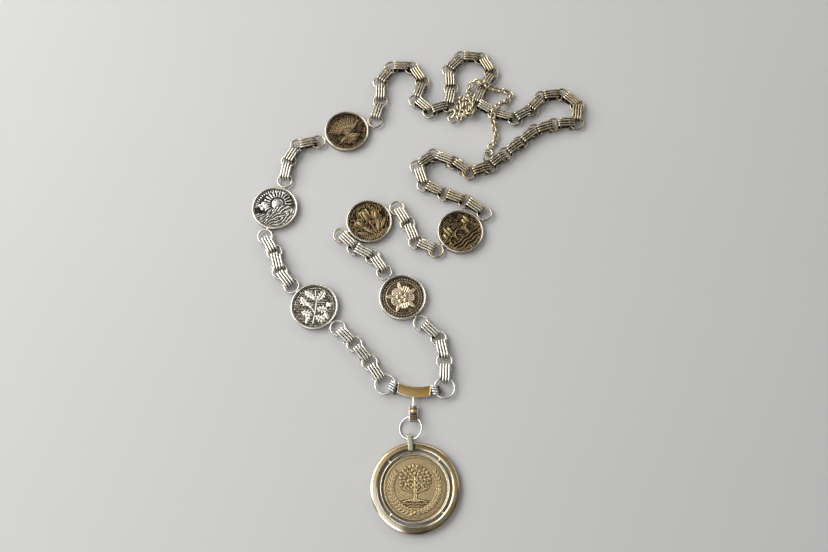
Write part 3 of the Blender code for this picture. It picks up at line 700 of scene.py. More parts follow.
# Rays are a cosine of the angle round a dome; each hill lies below a sine, with furrows across it.
def sunAndHills(relief):
    x, y = relief.x, relief.y
    away, a = relief.awayFrom(2.2, 2.6), np.arctan2(y - 2.6, x - 2.2)
    relief.ground(0.10, 2.6)
    rays = smoothStep(-0.2, 0.5, np.cos(22 * a)) * smoothStep(4.4, 5.0, away) * smoothStep(9.4, 8.2, away)
    relief.add(0.55 * rays)
    relief.add(dome(away - 3.7, 3.0, 0.95))
    relief.put(np.abs(away - 2.6) < 0.22, relief.height - 0.3)
    for base, swell, pace, shift, top in ((-0.6, 1.5, 0.32, 0.5, 0.62), (-3.6, 1.3, 0.42, 2.2, 0.75),
                                          (-6.8, 1.0, 0.5, 4.0, 0.9)):
        edge = y - (base + swell * np.sin(pace * x + shift))
        furrows = 0.62 + 0.38 * np.cos(2.6 * (x * (0.8 + 0.04 * y) - 1.2 * edge))
        relief.put(edge < 0.1, rise(edge, top) * np.where(edge < -0.5, furrows, 1.0))
    for cx, cy, size in ((-7.6, 1.9, 1.5), (-5.2, 2.6, 1.9), (-6.3, 4.9, 1.6), (-8.8, 4.2, 1.2)):
        relief.add(dome(relief.awayFrom(cx, cy) - size, size, 0.8) * (0.8 + 0.3 * grit(x * 3.1, y * 3.1)))
    relief.dentils(11.9, 30, 165, 7.5, 0.5)


# Nine stalks meet in a tie; along the top of each, grains lean out to both sides.
def wheatSheaf(relief):
    relief.ground(0.12, 2.4)
    relief.add(relief.hatching(8, 1.0, 0.28))
    for k in range(-4, 5):
        foot, waist, top = (1.2 * k, -9.0 + 0.15 * k * k), (0.28 * k, -1.8), (1.9 * k, 6.4 - 0.22 * k * k)
        relief.add(rise(relief.barEdge(*foot, *waist, 0.26), 0.5, 0.3))
        relief.add(rise(relief.barEdge(*waist, *top, 0.26), 0.5, 0.3))
        lean = heading(waist, top)
        for step in range(6):
            for side in (-1, 1):
                middle = polar(*polar(*top, 1.25 * step - 3.6, lean), 0.62, lean + 90 * side)
                relief.add(dome(relief.ovalEdge(*middle, 0.95, 0.42, lean + 38 * side), 0.4,
                                0.85 - 0.02 * abs(k)))
    tie = np.maximum(np.abs(relief.x) - 2.2, np.abs(relief.y + 1.8) - 0.85)
    relief.add(rise(tie, 0.95) * (0.8 + 0.2 * np.cos(5.5 * (relief.x + relief.y))))
    for turn in (205, 335):
        relief.leaf(*polar(0, -3.0, 4.6, turn), 6.5, 2.6, turn, 0.7)
    relief.beads(11.9, 195, 345, 24, 0.36)


# The deck is a parabola over courses of stone; arches are half circles on posts, over rippled water.
def archedBridge(relief):
    x, y = relief.x, relief.y
    relief.ground(0.10, 2.4)
    relief.add(relief.hatching(4, 1.2, 0.38))
    deck = 2.6 - 0.035 * x * x
    wall = np.maximum(y - deck, -y - 3.6)
    courses = 0.72 + 0.28 * smoothStep(-0.4, 0.2, np.cos(2 * np.pi * y / 1.15))
    joints = np.cos(2 * np.pi * (x / 2.0 + 0.5 * (np.floor(y / 1.15) % 2)))
    relief.add(rise(wall, 0.75) * (courses * (0.86 + 0.14 * smoothStep(-0.8, -0.4, joints))))
    shadow = relief.hatching(0, 0.9, 0.32)
    for cx, half in ((-7.4, 1.9), (-1.0, 3.1), (6.6, 2.2)):
        arch = np.where(y > -1.4, relief.awayFrom(cx, -1.4) - half, np.abs(x - cx) - half)
        relief.put(np.abs(arch - 0.3) < 0.4, np.maximum(relief.height, 0.9 * (y > -3.6) * (wall < 0)))
        relief.put((arch < 0) & (wall < 0.3), shadow)
    relief.add(rise(np.abs(y - deck) - 0.34, 1.0, 0.3) * (np.abs(x) < 12.4))
    ripples = smoothStep(0.1, 0.9, np.cos(2.9 * (y + 0.35 * np.sin(0.9 * x))))
    relief.put(y < -3.6, 0.12 + 0.42 * ripples)
    foliage = 0.7 + 0.5 * grit(x * 3.3, y * 2.0)
    for cx, base, tall in ((-9.3, 1.4, 4.4), (-6.6, 2.0, 6.8), (-4.2, 2.4, 5.2), (8.6, 1.6, 5.6),
                           (6.3, 2.0, 4.0)):
        relief.add(dome(relief.ovalEdge(cx, base + tall / 2, 0.95, tall / 2), 0.9, 0.8) * foliage)
    relief.dentils(11.9, 205, 335, 8.0, 0.5)


# Each flower is a middle petal between two turned ones, ribbed by a cosine, on a bar for its stalk.
def tulips(relief):
    x, y = relief.x, relief.y
    relief.ground(0.12, 2.4)
    relief.add(relief.hatching(62, 0.95, 0.27))
    for cx, cy, size, turn in ((0.0, 4.6, 1.25, 90), (-5.8, 1.4, 1.0, 108), (5.8, 1.6, 1.0, 72)):
        stalk = relief.barEdge(cx * 0.15, -9.8, *polar(cx, cy, -2.4 * size, turn), 0.34)
        relief.add(rise(stalk, 0.55, 0.3))
        ribs = 0.72 + 0.28 * np.cos(5.0 * localAxes(x, y, cx, cy, turn)[1])
        for side in (-1, 1):
            at = polar(*polar(cx, cy, 0.4 * size, turn), 1.15 * size, turn + 90 * side)
            outer = relief.ovalEdge(*at, 3.2 * size, 1.3 * size, turn + 12 * side)
            relief.add(dome(outer, 1.2, 0.85) * ribs)
        petal = relief.ovalEdge(cx, cy, 3.0 * size, 1.35 * size, turn)
        relief.add(dome(petal, 1.3, 1.0))
        relief.put(np.abs(petal) < 0.2, 0.3)
    for cx, cy, turn in ((-3.4, -5.2, 118), (3.4, -5.2, 62), (-7.2, -5.4, 140), (7.2, -5.4, 40)):
        relief.leaf(cx, cy, 8.6, 2.5, turn, 0.75)
    relief.put(y < -9.4, 0.15 + 0.35 * grit(x * 2.0, y * 5.0))
    relief.beads(11.9, 20, 160, 26, 0.34)


# Five outer petals with a lip, a leaf between each two, five inner petals and a scaled dome.
def heraldicRose(relief):
    x, y, away = relief.x, relief.y, relief.awayFrom(0, 0)
    relief.ground(0.16, 2.4)
    for turn in range(90, 450, 72):
        relief.leaf(*polar(0, 0, 7.4, turn + 36), 5.8, 2.6, turn + 36, 0.6)
        outer = relief.ovalEdge(*polar(0, 0, 5.0, turn), 2.7, 3.2, turn)
        veins = 0.8 + 0.2 * np.cos(4.6 * localAxes(x, y, 0, 0, turn)[1])
        relief.add(dome(outer, 1.6, 0.62) * veins + 0.22 * np.exp(-((outer + 0.5) / 0.3) ** 2))
    for turn in range(54, 414, 72):
        inner = relief.ovalEdge(*polar(0, 0, 2.7, turn), 1.6, 1.9, turn)
        relief.put(inner < 0, np.maximum(0.3, dome(inner, 1.0, 0.9)))
    relief.add(dome(away - 1.5, 1.4, 1.0) * (0.82 + 0.18 * np.cos(7 * x) * np.cos(7 * y)))
    relief.add(rise(np.abs(away - 10.2) - 0.16, 0.5, 0.3))
    relief.beads(11.7, 0, 352, 45, 0.36)


# Square to disc: the larger of |u| and |v| becomes the radius, their ratio the angle within a quarter.
def discGrid(radius, count):
    u, v = np.meshgrid(np.linspace(-1, 1, count), np.linspace(-1, 1, count), indexing="ij")
    wide = np.abs(u) > np.abs(v)
    r = np.where(wide, u, v)
    ratio = np.where(wide, v, u) / np.where(r == 0, 1, r)
    a = np.where(wide, np.pi / 4 * ratio, np.pi / 2 - np.pi / 4 * ratio)
    return radius * r * np.cos(a), radius * r * np.sin(a)


# Mean of the neighbours within reach steps, along both axes in turn.
def softened(height, reach):
    for axis in (0, 1):
        height = sum(np.roll(height, step, axis) for step in range(-reach, reach + 1)) / (2 * reach + 1)
    return height


# Relief disc: the picture's height stands on a floor, fades out toward the edge, and the edge itself
# drops. Painted shade and patina are a share of how low a point is, plus how far it lies under the mean
# of its neighbours, less how far it lies over it: low places and creases are darkened, crests lightened.
discEdge = {"fade": 0.6, "drop": 0.4, "lowStart": 0.04, "under": 0.9, "over": 0.3}


def reliefDisc(picture, made, up):
    radius, edge = made["discRadius"], discEdge
    x, y = discGrid(radius, made["grid"])
    away = np.hypot(x, y)
    relief = Relief(*localAxes(x / made["spread"], y / made["spread"], 0, 0, up))
    picture(relief)
    height = relief.height * smoothStep(radius, radius - edge["fade"], away)
    z = made["discFloor"] + height - edge["drop"] * smoothStep(radius - edge["drop"], radius, away)
    over = height - softened(height, made["nearby"])
    shadeAndTarnish = (made["lowShade"] * (1 - smoothStep(edge["lowStart"], made["lowTop"], height))
              + edge["under"] * (np.clip(-over, 0, 1) / made["crease"])
              - edge["over"] * (np.clip(over, 0, 1) / made["crease"]))
    return closedSheet(np.stack([x, y, z], -1), made["discBottom"], np.clip(shadeAndTarnish, 0, 1))


# Each medallion: picture, turn of its upright, bright and dark colour, polish, tone of its rim.
darkBrown = (0.016, 0.011, 0.006)
pictures = {
    "left_low": (oakBranch, 50, (0.92, 0.86, 0.74), (0.06, 0.046, 0.028), 0.30, 0.0),
    "left_mid": (sunAndHills, 15, (0.93, 0.90, 0.82), (0.016, 0.014, 0.012), 0.26, 0.0),
    "left_high": (wheatSheaf, 25, (0.395, 0.277, 0.158), darkBrown, 0.34, 0.5),
    "right_high": (archedBridge, 41, (0.475, 0.338, 0.173), darkBrown, 0.34, 0.5),
    "right_mid": (tulips, 33, (0.355, 0.248, 0.128), darkBrown, 0.34, 0.4),
    "right_low": (heraldicRose, 123, (0.75, 0.605, 0.425), (0.06, 0.042, 0.026), 0.32, 0.1)}
medallion = {"rimTop": 4.0, "wire": 1.25, "groove": 2.9, "innerWall": 14.25, "rimSteps": 128,
             "discRadius": 14.2, "discFloor": 2.6, "discBottom": 0.2, "spread": 1.1, "grid": 150,
             "nearby": 3, "crease": 0.14, "lowShade": 1.0, "lowTop": 0.42}


# Rim: a round wire on a flat band, with a narrow groove between the wire and the picture. A short neck,
# narrow at both ends, joins it to a ring at each side.
def rimShape():
    size, inner, groove = medallion["wire"] / 2, medallion["innerWall"], medallion["groove"]
    profile = [(inner, 0.0), (inner, 2.4), *arcProfile(inner + 0.16, groove + 0.28, 0.16, 180, 0, 5),
               (14.6, groove - 0.1),
               *arcProfile(16.0 - size, medallion["rimTop"] - size, size, 165, -60, 14),
               (15.55, 2.2), (15.85, 1.8), (15.85, 0.25), (15.6, 0.0)]
    # painted shade and tarnish: darkest low on the inner wall, in the groove and under the wire
    shadeAndTarnish = (0.7, 0.9, 0.7, 0.35, 0.2, 0.4, 0.8, 1.0, 0.9, 0.5, 0.2, *[0.0] * 8, 0.25, 0.6, 0.9, 1.0, 0.5,
              0.5, 0.7)
    shapes = [turnedShape(profile, medallion["rimSteps"], shadeAndTarnish=shadeAndTarnish)]
    waist = np.array((0.7, 0.95, 1.0, 0.95, 0.85, 0.85, 0.95, 0.9, 0.55))
    for side in (-1, 1):
        path = np.stack([np.linspace(15.3, 17.5, 9) * side, np.zeros(9), np.full(9, ring["height"])], 1)
        neck = carried(path, (0, 1, 0), strapSection(2.3, 1.5, 16, 2.6), scale=waist)
        shapes += [ringAt(side * solderedRing, 0), {**neck, "shadeAndTarnish": neck["shadeAndTarnish"] + 0.3}]
    return joined(shapes)


def makeMedallions():
    rim = rimShape()
    for name, (x, y, turn) in medallions.items():
        picture, up, bright, tarnishAndShade, polish, tone = pictures[name]
        makePiece(f"rim_{name}", toned(moved(rim, (x, y, 0), turnMatrix("z", turn)), tone), "rimSilver",
                  "medallion_rim", f"medallion_{name}_rim")
        look = f"relief_{name}"
        finishes[look] = makeMetal(look, bright, bright, tarnishAndShade, {**discLook, "Polish": polish}, discBump)
        makePiece(look, moved(reliefDisc(picture, medallion, up), (x, y, 0)), look, "medallion_disc",
                  f"medallion_{name}_disc")


makeMedallions()
print("medallions made")


# Pendant: a split band, a pinned bezel with a reeded inner side, and a face in low relief.
pendant = {"centre": (-4.8, -144.7), "bandIn": 23.6, "bandOut": 28.1, "bandLow": 1.1, "bandHigh": 4.1,
           "bandSteps": 240, "slotStart": 89.6, "slotEnd": 92.8, "bezelIn": 20.0, "bezelOut": 21.9,
           "bezelTop": 3.8, "pins": (48.0, 135.0, 228.0, 319.0), "pinWire": 1.7, "pinHeight": 3.0,
           "reeds": 150, "reedDepth": 0.16, "reedSlant": 2.4, "reedShade": 2.6, "leftShade": 0.35,
           "discRadius": 20.0, "discFloor": 2.7, "discBottom": 0.0, "spread": 1.08, "grid": 286,
           "nearby": 3, "crease": 0.036, "lowShade": 0.16, "lowTop": 0.3}
# The band's gold: least tone, what patches add, how much tone a painted reflection takes away at the
# lower left, what the painted shade beside the bail and at the foot adds to the tone, and how much
# darker the painted shade of each of the two makes it.
bandLook = {"tone": 0.6, "patches": 0.5, "patchPace": 0.16, "wearAndSheen": 0.75, "deepTone": 0.45,
            "deepShade": 0.25, "footShade": 0.72}


# A tree of bars and leaves on a mound over water, inside a laurel and a ring of beads.
def treeAndLaurel(relief):
    x, y = relief.x, relief.y
    relief.ground(0.07, 3.0, 0.06)
    # water under a grassy mound
    waves = smoothStep(0.0, 0.8, np.cos(4.2 * (y + 0.3 * np.cos(1.6 * x))))
    relief.put(np.maximum(np.hypot(x, y) - 11.6, y + 6.6) < 0, 0.08 + 0.34 * waves)
    mound = np.maximum(np.hypot(x * 0.62, y + 13.2) - 7.0, -y - 7.9 - 0.35 * np.cos(0.9 * x))
    relief.put(mound < 0.25, 0.05)
    relief.add(rise(mound, 0.55, 0.4) * (0.75 + 0.25 * np.cos(5.2 * x + 1.5 * np.sin(2.0 * y))))
    # trunk, roots and branches
    bark = 0.85 + 0.15 * np.cos(6.5 * x + np.sin(2.2 * y))
    for wood in ((0, -6.6, 0, -1.5, 1.15), (0, -6.0, -3.0, -7.4, 0.5), (0, -6.0, 3.0, -7.4, 0.5),
                 (0, -2.0, -4.6, 2.6, 0.6), (0, -2.0, 4.6, 2.6, 0.6), (0, -2.0, 0, 6.0, 0.65),
                 (-0.4, -3.2, -7.4, -0.4, 0.45), (0.4, -3.2, 7.4, -0.4, 0.45)):
        relief.add(rise(relief.barEdge(*wood), 0.75, 0.35) * bark)
    # crown: rings of leaves that point outward and lean to either side in turn, with fruit among them
    for reach, count, size in ((1.6, 5, 2.8), (3.9, 11, 3.0), (6.2, 17, 3.0), (8.6, 23, 2.9)):
        for k in range(count):
            turn = 360 * (k + 0.5 * (count % 2)) / count + 10
            cx, cy = polar(0.0, 4.6, reach, turn)
            if cy >= -1.6 and (cy >= 0.4 or abs(cx) >= 4.0):
                lean = turn + (28 if k % 2 else -28)
                relief.leaf(cx * 0.98, cy * 0.9 + 0.5, size, 1.7, lean, 0.62)
    for k in range(11):
        cx, cy = polar(0.0, 4.9, 5.3 if k % 2 else 7.4, 34 * k - 8)
        if cy > 0:
            fruit = relief.awayFrom(cx, cy) - 0.62
            relief.put(fruit < 0.2, np.maximum(0.1, dome(fruit, 0.6, 0.9)))
    # laurel: leaves in threes up both sides on an arc, and a tie at the foot
    for side in (-1, 1):
        for k in range(15):
            angle = -90 + side * (9 + 8.4 * k)
            for lean, reach in ((36, 14.9), (-36, 12.9), (0, 14.0)):
                relief.leaf(*polar(0.0, 0.2, reach, angle), 3.4, 1.25, angle + side * (90 - lean), 0.6)
    for turn in (212, 328):
        relief.leaf(*polar(0, -13.9, 1.9, turn), 3.6, 1.5, turn, 0.7)
    relief.add(dome(relief.ovalEdge(0, -13.9, 1.2, 1.0), 0.8, 0.9))
    relief.beads(17.2, 0, 356.4, 100, 0.30, 0.4)


# Band: a top that slopes a little outward, between a narrow inner bevel and a wide outer one.
def bandShape():
    low, high, inner, outer = (pendant[k] for k in ("bandLow", "bandHigh", "bandIn", "bandOut"))
    r = np.linspace(inner + 0.75, outer - 1.15, 8)
    slope = high - 0.16 * ((r - r[0]) / (r[-1] - r[0])) ** 1.3
    profile = [(inner, low + 0.3), (inner, high - 0.5), (inner + 0.06, high - 0.36),
               (inner + 0.12, high - 0.31), (inner + 0.66, high - 0.04), *zip(r, slope),
               (outer - 1.08, high - 0.19), (outer - 0.22, high - 0.66), (outer - 0.08, high - 0.8),
               (outer, high - 1.05), (outer, low + 0.7),
               *arcProfile(outer - 0.5, low + 0.5, 0.5, -20, -90, 4), (inner + 0.3, low)]
    # painted shade and tarnish on the inner wall, low on the outer wall and on the underside
    marks = np.zeros(len(profile))
    marks[:3], marks[-8:] = (1.0, 0.8, 0.2), (0.0, 0.25, 0.6, 0.7, 0.7, 0.7, 0.7, 0.7)
    shape = turnedShape(profile, pendant["bandSteps"], pendant["slotEnd"],
                        pendant["slotStart"] + 360, marks)
    # each place is where the cosine to its middle direction is high
    x, y = unit(shape["points"][:, :2]).T
    # painted reflection makes the lower left pale; painted shade darkens the band beside the bail and at
    # the foot
    wearAndSheen = smoothStep(0.35, 0.85, -0.68 * x - 0.73 * y)
    deep = smoothStep(0.66, 0.93, -0.42 * x + 0.91 * y)
    foot = smoothStep(0.915, 0.98, 0.02 * x - y)
    px, py = shape["points"][:, :2].T * bandLook["patchPace"]
    gold = bandLook["tone"] + bandLook["patches"] * smoothStep(0.4, 0.65, grit(px + 3, py))
    gold = gold * (1 - bandLook["wearAndSheen"] * wearAndSheen) + bandLook["deepTone"] * (deep + foot)
    bandShadeAndTarnish = shape["shadeAndTarnish"] + bandLook["footShade"] * foot + bandLook["deepShade"] * deep
    return {**shape, "tone": np.clip(gold, 0, 1), "shadeAndTarnish": np.clip(bandShadeAndTarnish, 0, 1)}


# Bezel: an edge wire, and inside it a slope with reeds; the reeds are a cosine of the angle, turned
# along with the radius, that lifts the slope's points.
def bezelShape():
    inner, outer, top = (pendant[k] for k in ("bezelIn", "bezelOut", "bezelTop"))
    profile = [(inner, 0.0), (inner, 2.4), *zip(np.linspace(inner + 0.04, outer - 0.86, 6),
                                                np.linspace(2.86, 3.4, 6)),
               (outer - 0.80, 3.3), *arcProfile(outer - 0.40, top - 0.38, 0.38, 165, 0, 9), (outer, 0.3),
               (outer - 0.2, 0.0)]
    shadeAndTarnish = (0.9, 0.9, 0.6, 0.45, 0.4, 0.4, 0.45, 0.6, 1.0, 0.5, 0.1, *[0.0] * 7, 0.7, 0.7)
    steps = pendant["reeds"] * 6
    shape = turnedShape(profile, steps, shadeAndTarnish=shadeAndTarnish)
    points = shape["points"].reshape(len(profile), steps, 3)
    angle = np.linspace(0, 2 * np.pi, steps, endpoint=False)
    across = np.array([point[0] - inner for point in profile])[:, None]
    onSlope = np.array((0, 0, 0.6, 1.0, 1.0, 1.0, 1.0, 0.6, *[0] * (len(profile) - 8)))[:, None]
    wave = pendant["reedDepth"] * np.cos(pendant["reeds"] * angle + pendant["reedSlant"] * across)
    points[..., 2] += onSlope * wave
    # painted shade: the slope is darker on the left half, and each reed is darker in its groove and lighter
    # on its crest
    hidden = pendant["leftShade"] * (onSlope > 0) * smoothStep(-0.2, 0.6, -np.cos(angle - 0.35))
    marks = shape["shadeAndTarnish"].reshape(len(profile), steps) - pendant["reedShade"] * onSlope * wave + hidden
    return {**shape, "shadeAndTarnish": marks.clip(0, 1).ravel()}


# Pin: its size swells by a square toward both ends, where it is soldered.
def pinShape(angle):
    reach = np.linspace(pendant["bezelOut"] - 0.3, pendant["bandIn"] + 0.3, 13)
    path = np.stack([reach, 0 * reach, np.full(13, pendant["pinHeight"])], 1)
    size = 0.78 + 0.32 * np.linspace(-1, 1, 13) ** 2
    shape = carried(path, (0, 1, 0), roundSection(pendant["pinWire"], 14), scale=size)
    return moved(shape, (0, 0, 0), turnMatrix("z", angle))


bail = {"angle": 96.6, "start": 22.6, "end": 33.9, "width": 3.1, "height": 5.2, "strap": 0.85,
        "bends": (1.9, 1.9, 0.7, 0.7), "shade": 0.7}


# Rounded loop standing in the x-z plane: straight runs joined by quarter circles of the given radii.
def loopPath(low, high, bottom, top, radii):
    corners = ((high, bottom, -90), (high, top, 0), (low, top, 90), (low, bottom, 180))
    path = []
    for (x, z, start), r in zip(corners, radii):
        a = np.radians(start + np.linspace(0, 90, 9))
        cx = x - r if x == high else x + r
        cz = z - r if z == top else z + r
        path.append(np.stack([cx + r * np.cos(a), 0 * a, cz + r * np.sin(a)], 1))
    path = np.vstack(path)
    return evenSteps(np.vstack([path, path[:1]]), 97)[:-1]


# Bail: a flat strap carried round a rounded loop.
def bailShape():
    half = bail["strap"] / 2
    path = loopPath(bail["start"] + half, bail["end"] - half, half, bail["height"] - half, bail["bends"])
    middle = np.array(((bail["start"] + bail["end"]) / 2, 0, bail["height"] / 2))
    shape = carried(path, (0, 1, 0), strapSection(bail["width"], bail["strap"], 28, 4.5), closed=True,
                    inward=unit(middle - path))
    shape["shadeAndTarnish"] *= bail["shade"]
    return moved(shape, (*pendant["centre"], 0), turnMatrix("z", bail["angle"]))


# Painted shadow: a low, fully dark piece of the band that joins its two ends inside the slot and
# stands in for the shadow there.
def slotShadowShape():
    inner, outer = pendant["bandIn"] + 0.5, pendant["bandOut"] - 0.9
    profile = [(inner, 1.4), (inner, 2.3), (outer, 2.3), (outer, 1.4)]
    return turnedShape(profile, 8, pendant["slotStart"] - 1.5, pendant["slotEnd"] + 1.5, np.ones(4))


def makePendant():
    centre = (*pendant["centre"], 0)
    makePiece("pendant_band", moved(joined([bandShape(), slotShadowShape()]), centre), "bandGold",
              "pendant_gold", "pendant_frame")
    bezel = joined([bezelShape()] + [pinShape(angle) for angle in pendant["pins"]])
    makePiece("pendant_bezel", moved(bezel, centre), "bezelGold", "pendant_gold", "pendant_frame")
    makePiece("pendant_face", moved(reliefDisc(treeAndLaurel, pendant, 0), centre), "faceGold",
              "pendant_face", "pendant_disc")
    makePiece("pendant_strap", bailShape(), "bailGold", "pendant_gold", "pendant_bail")


makePendant()
print("pendant made")


# Hanger: jump ring, swivel box with a ribbed cover, and the post that hangs from the bar.
jumpRing = {"centre": (-7.65, -107.45, 2.8), "radius": 7.3, "wire": 0.9, "tilt": 15.0}
box = {"centre": (-5.9, -98.4, 3.6), "width": 6.4, "length": 10.8, "side": 1.0, "near": 0.75,
       "thickness": 1.2, "bend": 0.35, "roll": 12.0}
cover = {"start": -102.9, "end": -99.5, "inset": 0.75, "bottom": 0.55, "top": 1.55, "arch": 0.55,
         "ribs": 2.5, "ribHeight": 0.14, "tone": 0.35, "shade": 0.6}
post = {"wire": 1.05, "start": -87.0, "headFar": -94.0, "headNear": -99.3, "head": 4.7}
bar = {"centre": (-5.3, -82.3), "turn": -6.0, "length": 21.8, "width": 7.2, "sag": 1.95, "bottom": 0.9,
       "top": 4.9, "border": 0.8, "pocket": 0.4, "lip": 0.35, "crown": 0.12}
wraps = {"length": 6.0, "height": 5.4, "wire": 1.15, "wireWidth": 1.3, "corners": 6.0, "pitch": 1.72,
         "turnStart": 70.0, "turnEnd": 1345.0, "firstStrand": -2.6, "tail": 0.3, "open": 9.0, "steps": 124,
         "sides": 12, "restHeight": 0.25, "peg": 2.6, "pegHeight": 2.9, "pegShade": 0.9}
# Each side's coil: distance from the bar, slant of its strands, lean, drop toward the front, and where
# along it its dark end of painted shade starts and is full.
wrapSides = {"left": (2.7, 0.75, 8.0, 0.5, (-1.0, -1.7)), "right": (3.6, 0.9, -5.0, 0.4, (0.5, 1.4))}


def makeHanger():
    jump = moved(ringShape(jumpRing["radius"], jumpRing["wire"], 72, 12), jumpRing["centre"],
                 turnMatrix("y", -jumpRing["tilt"]))
    makePiece("jump_ring", jump, "brightSilver", "bright_silver", "pendant_jump_ring")
    wide, tall = box["width"] / 2 - box["side"] / 2, box["length"] / 2 - box["near"] / 2
    flat = loopPath(-wide, wide, -tall, tall, [box["bend"]] * 4)[:, (0, 2, 1)]
    hoop = carried(flat, (0, 0, 1), strapSection(box["thickness"], box["near"], 20, 2.3), closed=True,
                   inward=(0, 0, -1))
    collar = turnedShape(np.array(arcProfile(1.1, 0.0, 0.3, 180, -180, 13)[:-1]) * (1, 2.2), 40)
    collar = moved(collar, (0, tall, 0), turnMatrix("x", 90))
    makePiece("swivel_frame", moved(joined([hoop, collar]), box["centre"], turnMatrix("y", box["roll"])),
              "brightSilver", "bar_gold", "swivel_box")
    # cover: an arched plate on the lower half of the frame, over the jump ring
    start, end = cover["start"] - box["centre"][1], cover["end"] - box["centre"][1]
    v, u = np.meshgrid(np.linspace(-1, 1, 33), np.linspace(0, 1, 25), indexing="ij")
    ribs = cover["ribHeight"] * np.cos(2 * np.pi * cover["ribs"] * u)
    top = cover["top"] + cover["arch"] * np.sqrt(1 - 0.96 * v * v) + ribs
    plate = np.stack([v * (box["width"] / 2 - cover["inset"]), start + (end - start) * u, top], -1)
    # painted shade: the cover is darkened all over, more in the grooves between its ribs
    sheet = toned(closedSheet(plate, cover["bottom"], cover["shade"] - 2.5 * ribs), cover["tone"])
    makePiece("swivel_cover", moved(sheet, box["centre"], turnMatrix("y", box["roll"])), "headGold",
              "bar_gold", "swivel_box")


# From -1 to 1 by half a sine and half a line, so that the steps close up toward the ends.
def closingSteps(count):
    line = np.linspace(-1, 1, count)
    return (np.sin(line * np.pi / 2) + line) * 0.5


# Bar plate: y is the bend plus a share of the width; the top is low inside a raised border.
def plateShape():
    u, v = np.meshgrid(closingSteps(150), closingSteps(72), indexing="ij")
    halfLength, halfWidth, border = bar["length"] / 2, bar["width"] / 2, bar["border"]
    inset = np.minimum(halfLength * (1 - np.abs(u)), halfWidth * (1 - np.abs(v)))
    pocket = smoothStep(border - 0.25, border + 0.12, inset)
    z = bar["top"] - bar["lip"] * (1 - smoothStep(0, bar["lip"], inset)) - bar["pocket"] * pocket
    z = z + bar["crown"] * pocket * (1 - v * v)
    top = np.stack([halfLength * u, -bar["sag"] * (1 - u * u) + halfWidth * v, z], -1)
    # painted shade and tarnish along the foot of the raised border
    shape = closedSheet(top, bar["bottom"], np.exp(-((inset - border) / 0.18) ** 2) * 0.75)
    # the gilding is warmest toward the right
    gilding = 0.74 + 0.26 * smoothStep(-0.4, 0.9, u - 0.4 * v)
    shape["tone"][:u.size] = (gilding * smoothStep(border - 0.3, border, inset)).ravel()
    return moved(shape, (*bar["centre"], 0), turnMatrix("z", bar["turn"]))


# Post head, a barrel with two collars. Each row: share of the way along it, size, and its mark of
# painted shade and tarnish.
headProfile = (
    (0, 0.62, 0.9), (0.03, 0.88, 0.8), (0.07, 0.95, 0.7), (0.14, 0.95, 0.7), (0.17, 0.88, 0.9),
    (0.20, 0.80, 1.0), (0.24, 0.92, 0.4), (0.30, 0.98, 0), (0.42, 1.0, 0), (0.56, 0.98, 0),
    (0.64, 0.94, 0.3), (0.68, 0.84, 1.0), (0.72, 0.94, 0.5), (0.76, 1.0, 0.2), (0.92, 0.98, 0.2),
    (0.97, 0.90, 0.4), (1.0, 0.60, 0.9))


def postLine(reach):
    x, z = box["centre"][::2]
    return np.stack([x + 0 * reach, reach, z + 0 * reach], 1)


# A round section carried along the post, its size and its mark of painted shade and tarnish taken
# from the rows.
def headShape():
    along, size, dark = np.array(headProfile).T
    line = postLine(post["headNear"] + (post["headFar"] - post["headNear"]) * along)
    shape = carried(line, (0, 0, 1), roundSection(post["head"], 32), scale=size)
    return {**shape, "shadeAndTarnish": np.repeat(dark, 32), "tone": np.repeat(smoothStep(0.62, 0.74, along), 32)}


def makeBar():
    makePiece("bar_plate", plateShape(), "barGold", "bar_gold", "bar")
    makePiece("post_head", headShape(), "headGold", "bar_gold", "bar")
    stem = postLine(np.linspace(post["start"], post["headFar"] - 0.4, 25))
    shapes = [carried(stem, (0, 0, 1), roundSection(post["wire"], 14))]
    for side, sign in (("left", -1), ("right", 1)):
        reach, slant, lean, drop, dark = wrapSides[side]
        end = polar(*bar["centre"], bar["length"] / 2 * sign, bar["turn"])
        turn = heading(end, bigRing[side])
        x, y = polar(*end, reach, turn)
        coil = coilShape({**wraps, "slant": slant})
        # painted shade on the coil's dark end
        shade = wraps["pegShade"] * smoothStep(*dark, coil["points"][:, 0])
        coil["shadeAndTarnish"] = np.maximum(coil["shadeAndTarnish"], shade)
        # a peg holds the coil to the end of the bar; painted shade makes it dark
        ends = np.linspace(polar(*end, -0.8, turn), polar(*end, 1.6, turn), 7)
        peg = carried(np.column_stack([ends, np.full(7, wraps["pegHeight"])]), (0, 0, 1),
                      roundSection(wraps["peg"], 20))
        shapes += [{**peg, "shadeAndTarnish": peg["shadeAndTarnish"] + wraps["pegShade"]},
                   moved(coil, (x, y - drop, wraps["restHeight"]),
                         turnMatrix("z", turn) @ turnMatrix("y", lean))]
    makePiece("bar_wraps", joined(shapes), "brightSilver", "bright_silver", "bar")
    for side in ("left", "right"):
        big = ringShape(bigRing["radius"], bigRing["wire"], 72, 12)
        makePiece(f"big_round_{side}", moved(big, (*bigRing[side], bigRing["height"])), "brightSilver",
                  "bright_silver", f"big_ring_{side}")


makeHanger()
makeBar()
print("bar and hanger made")


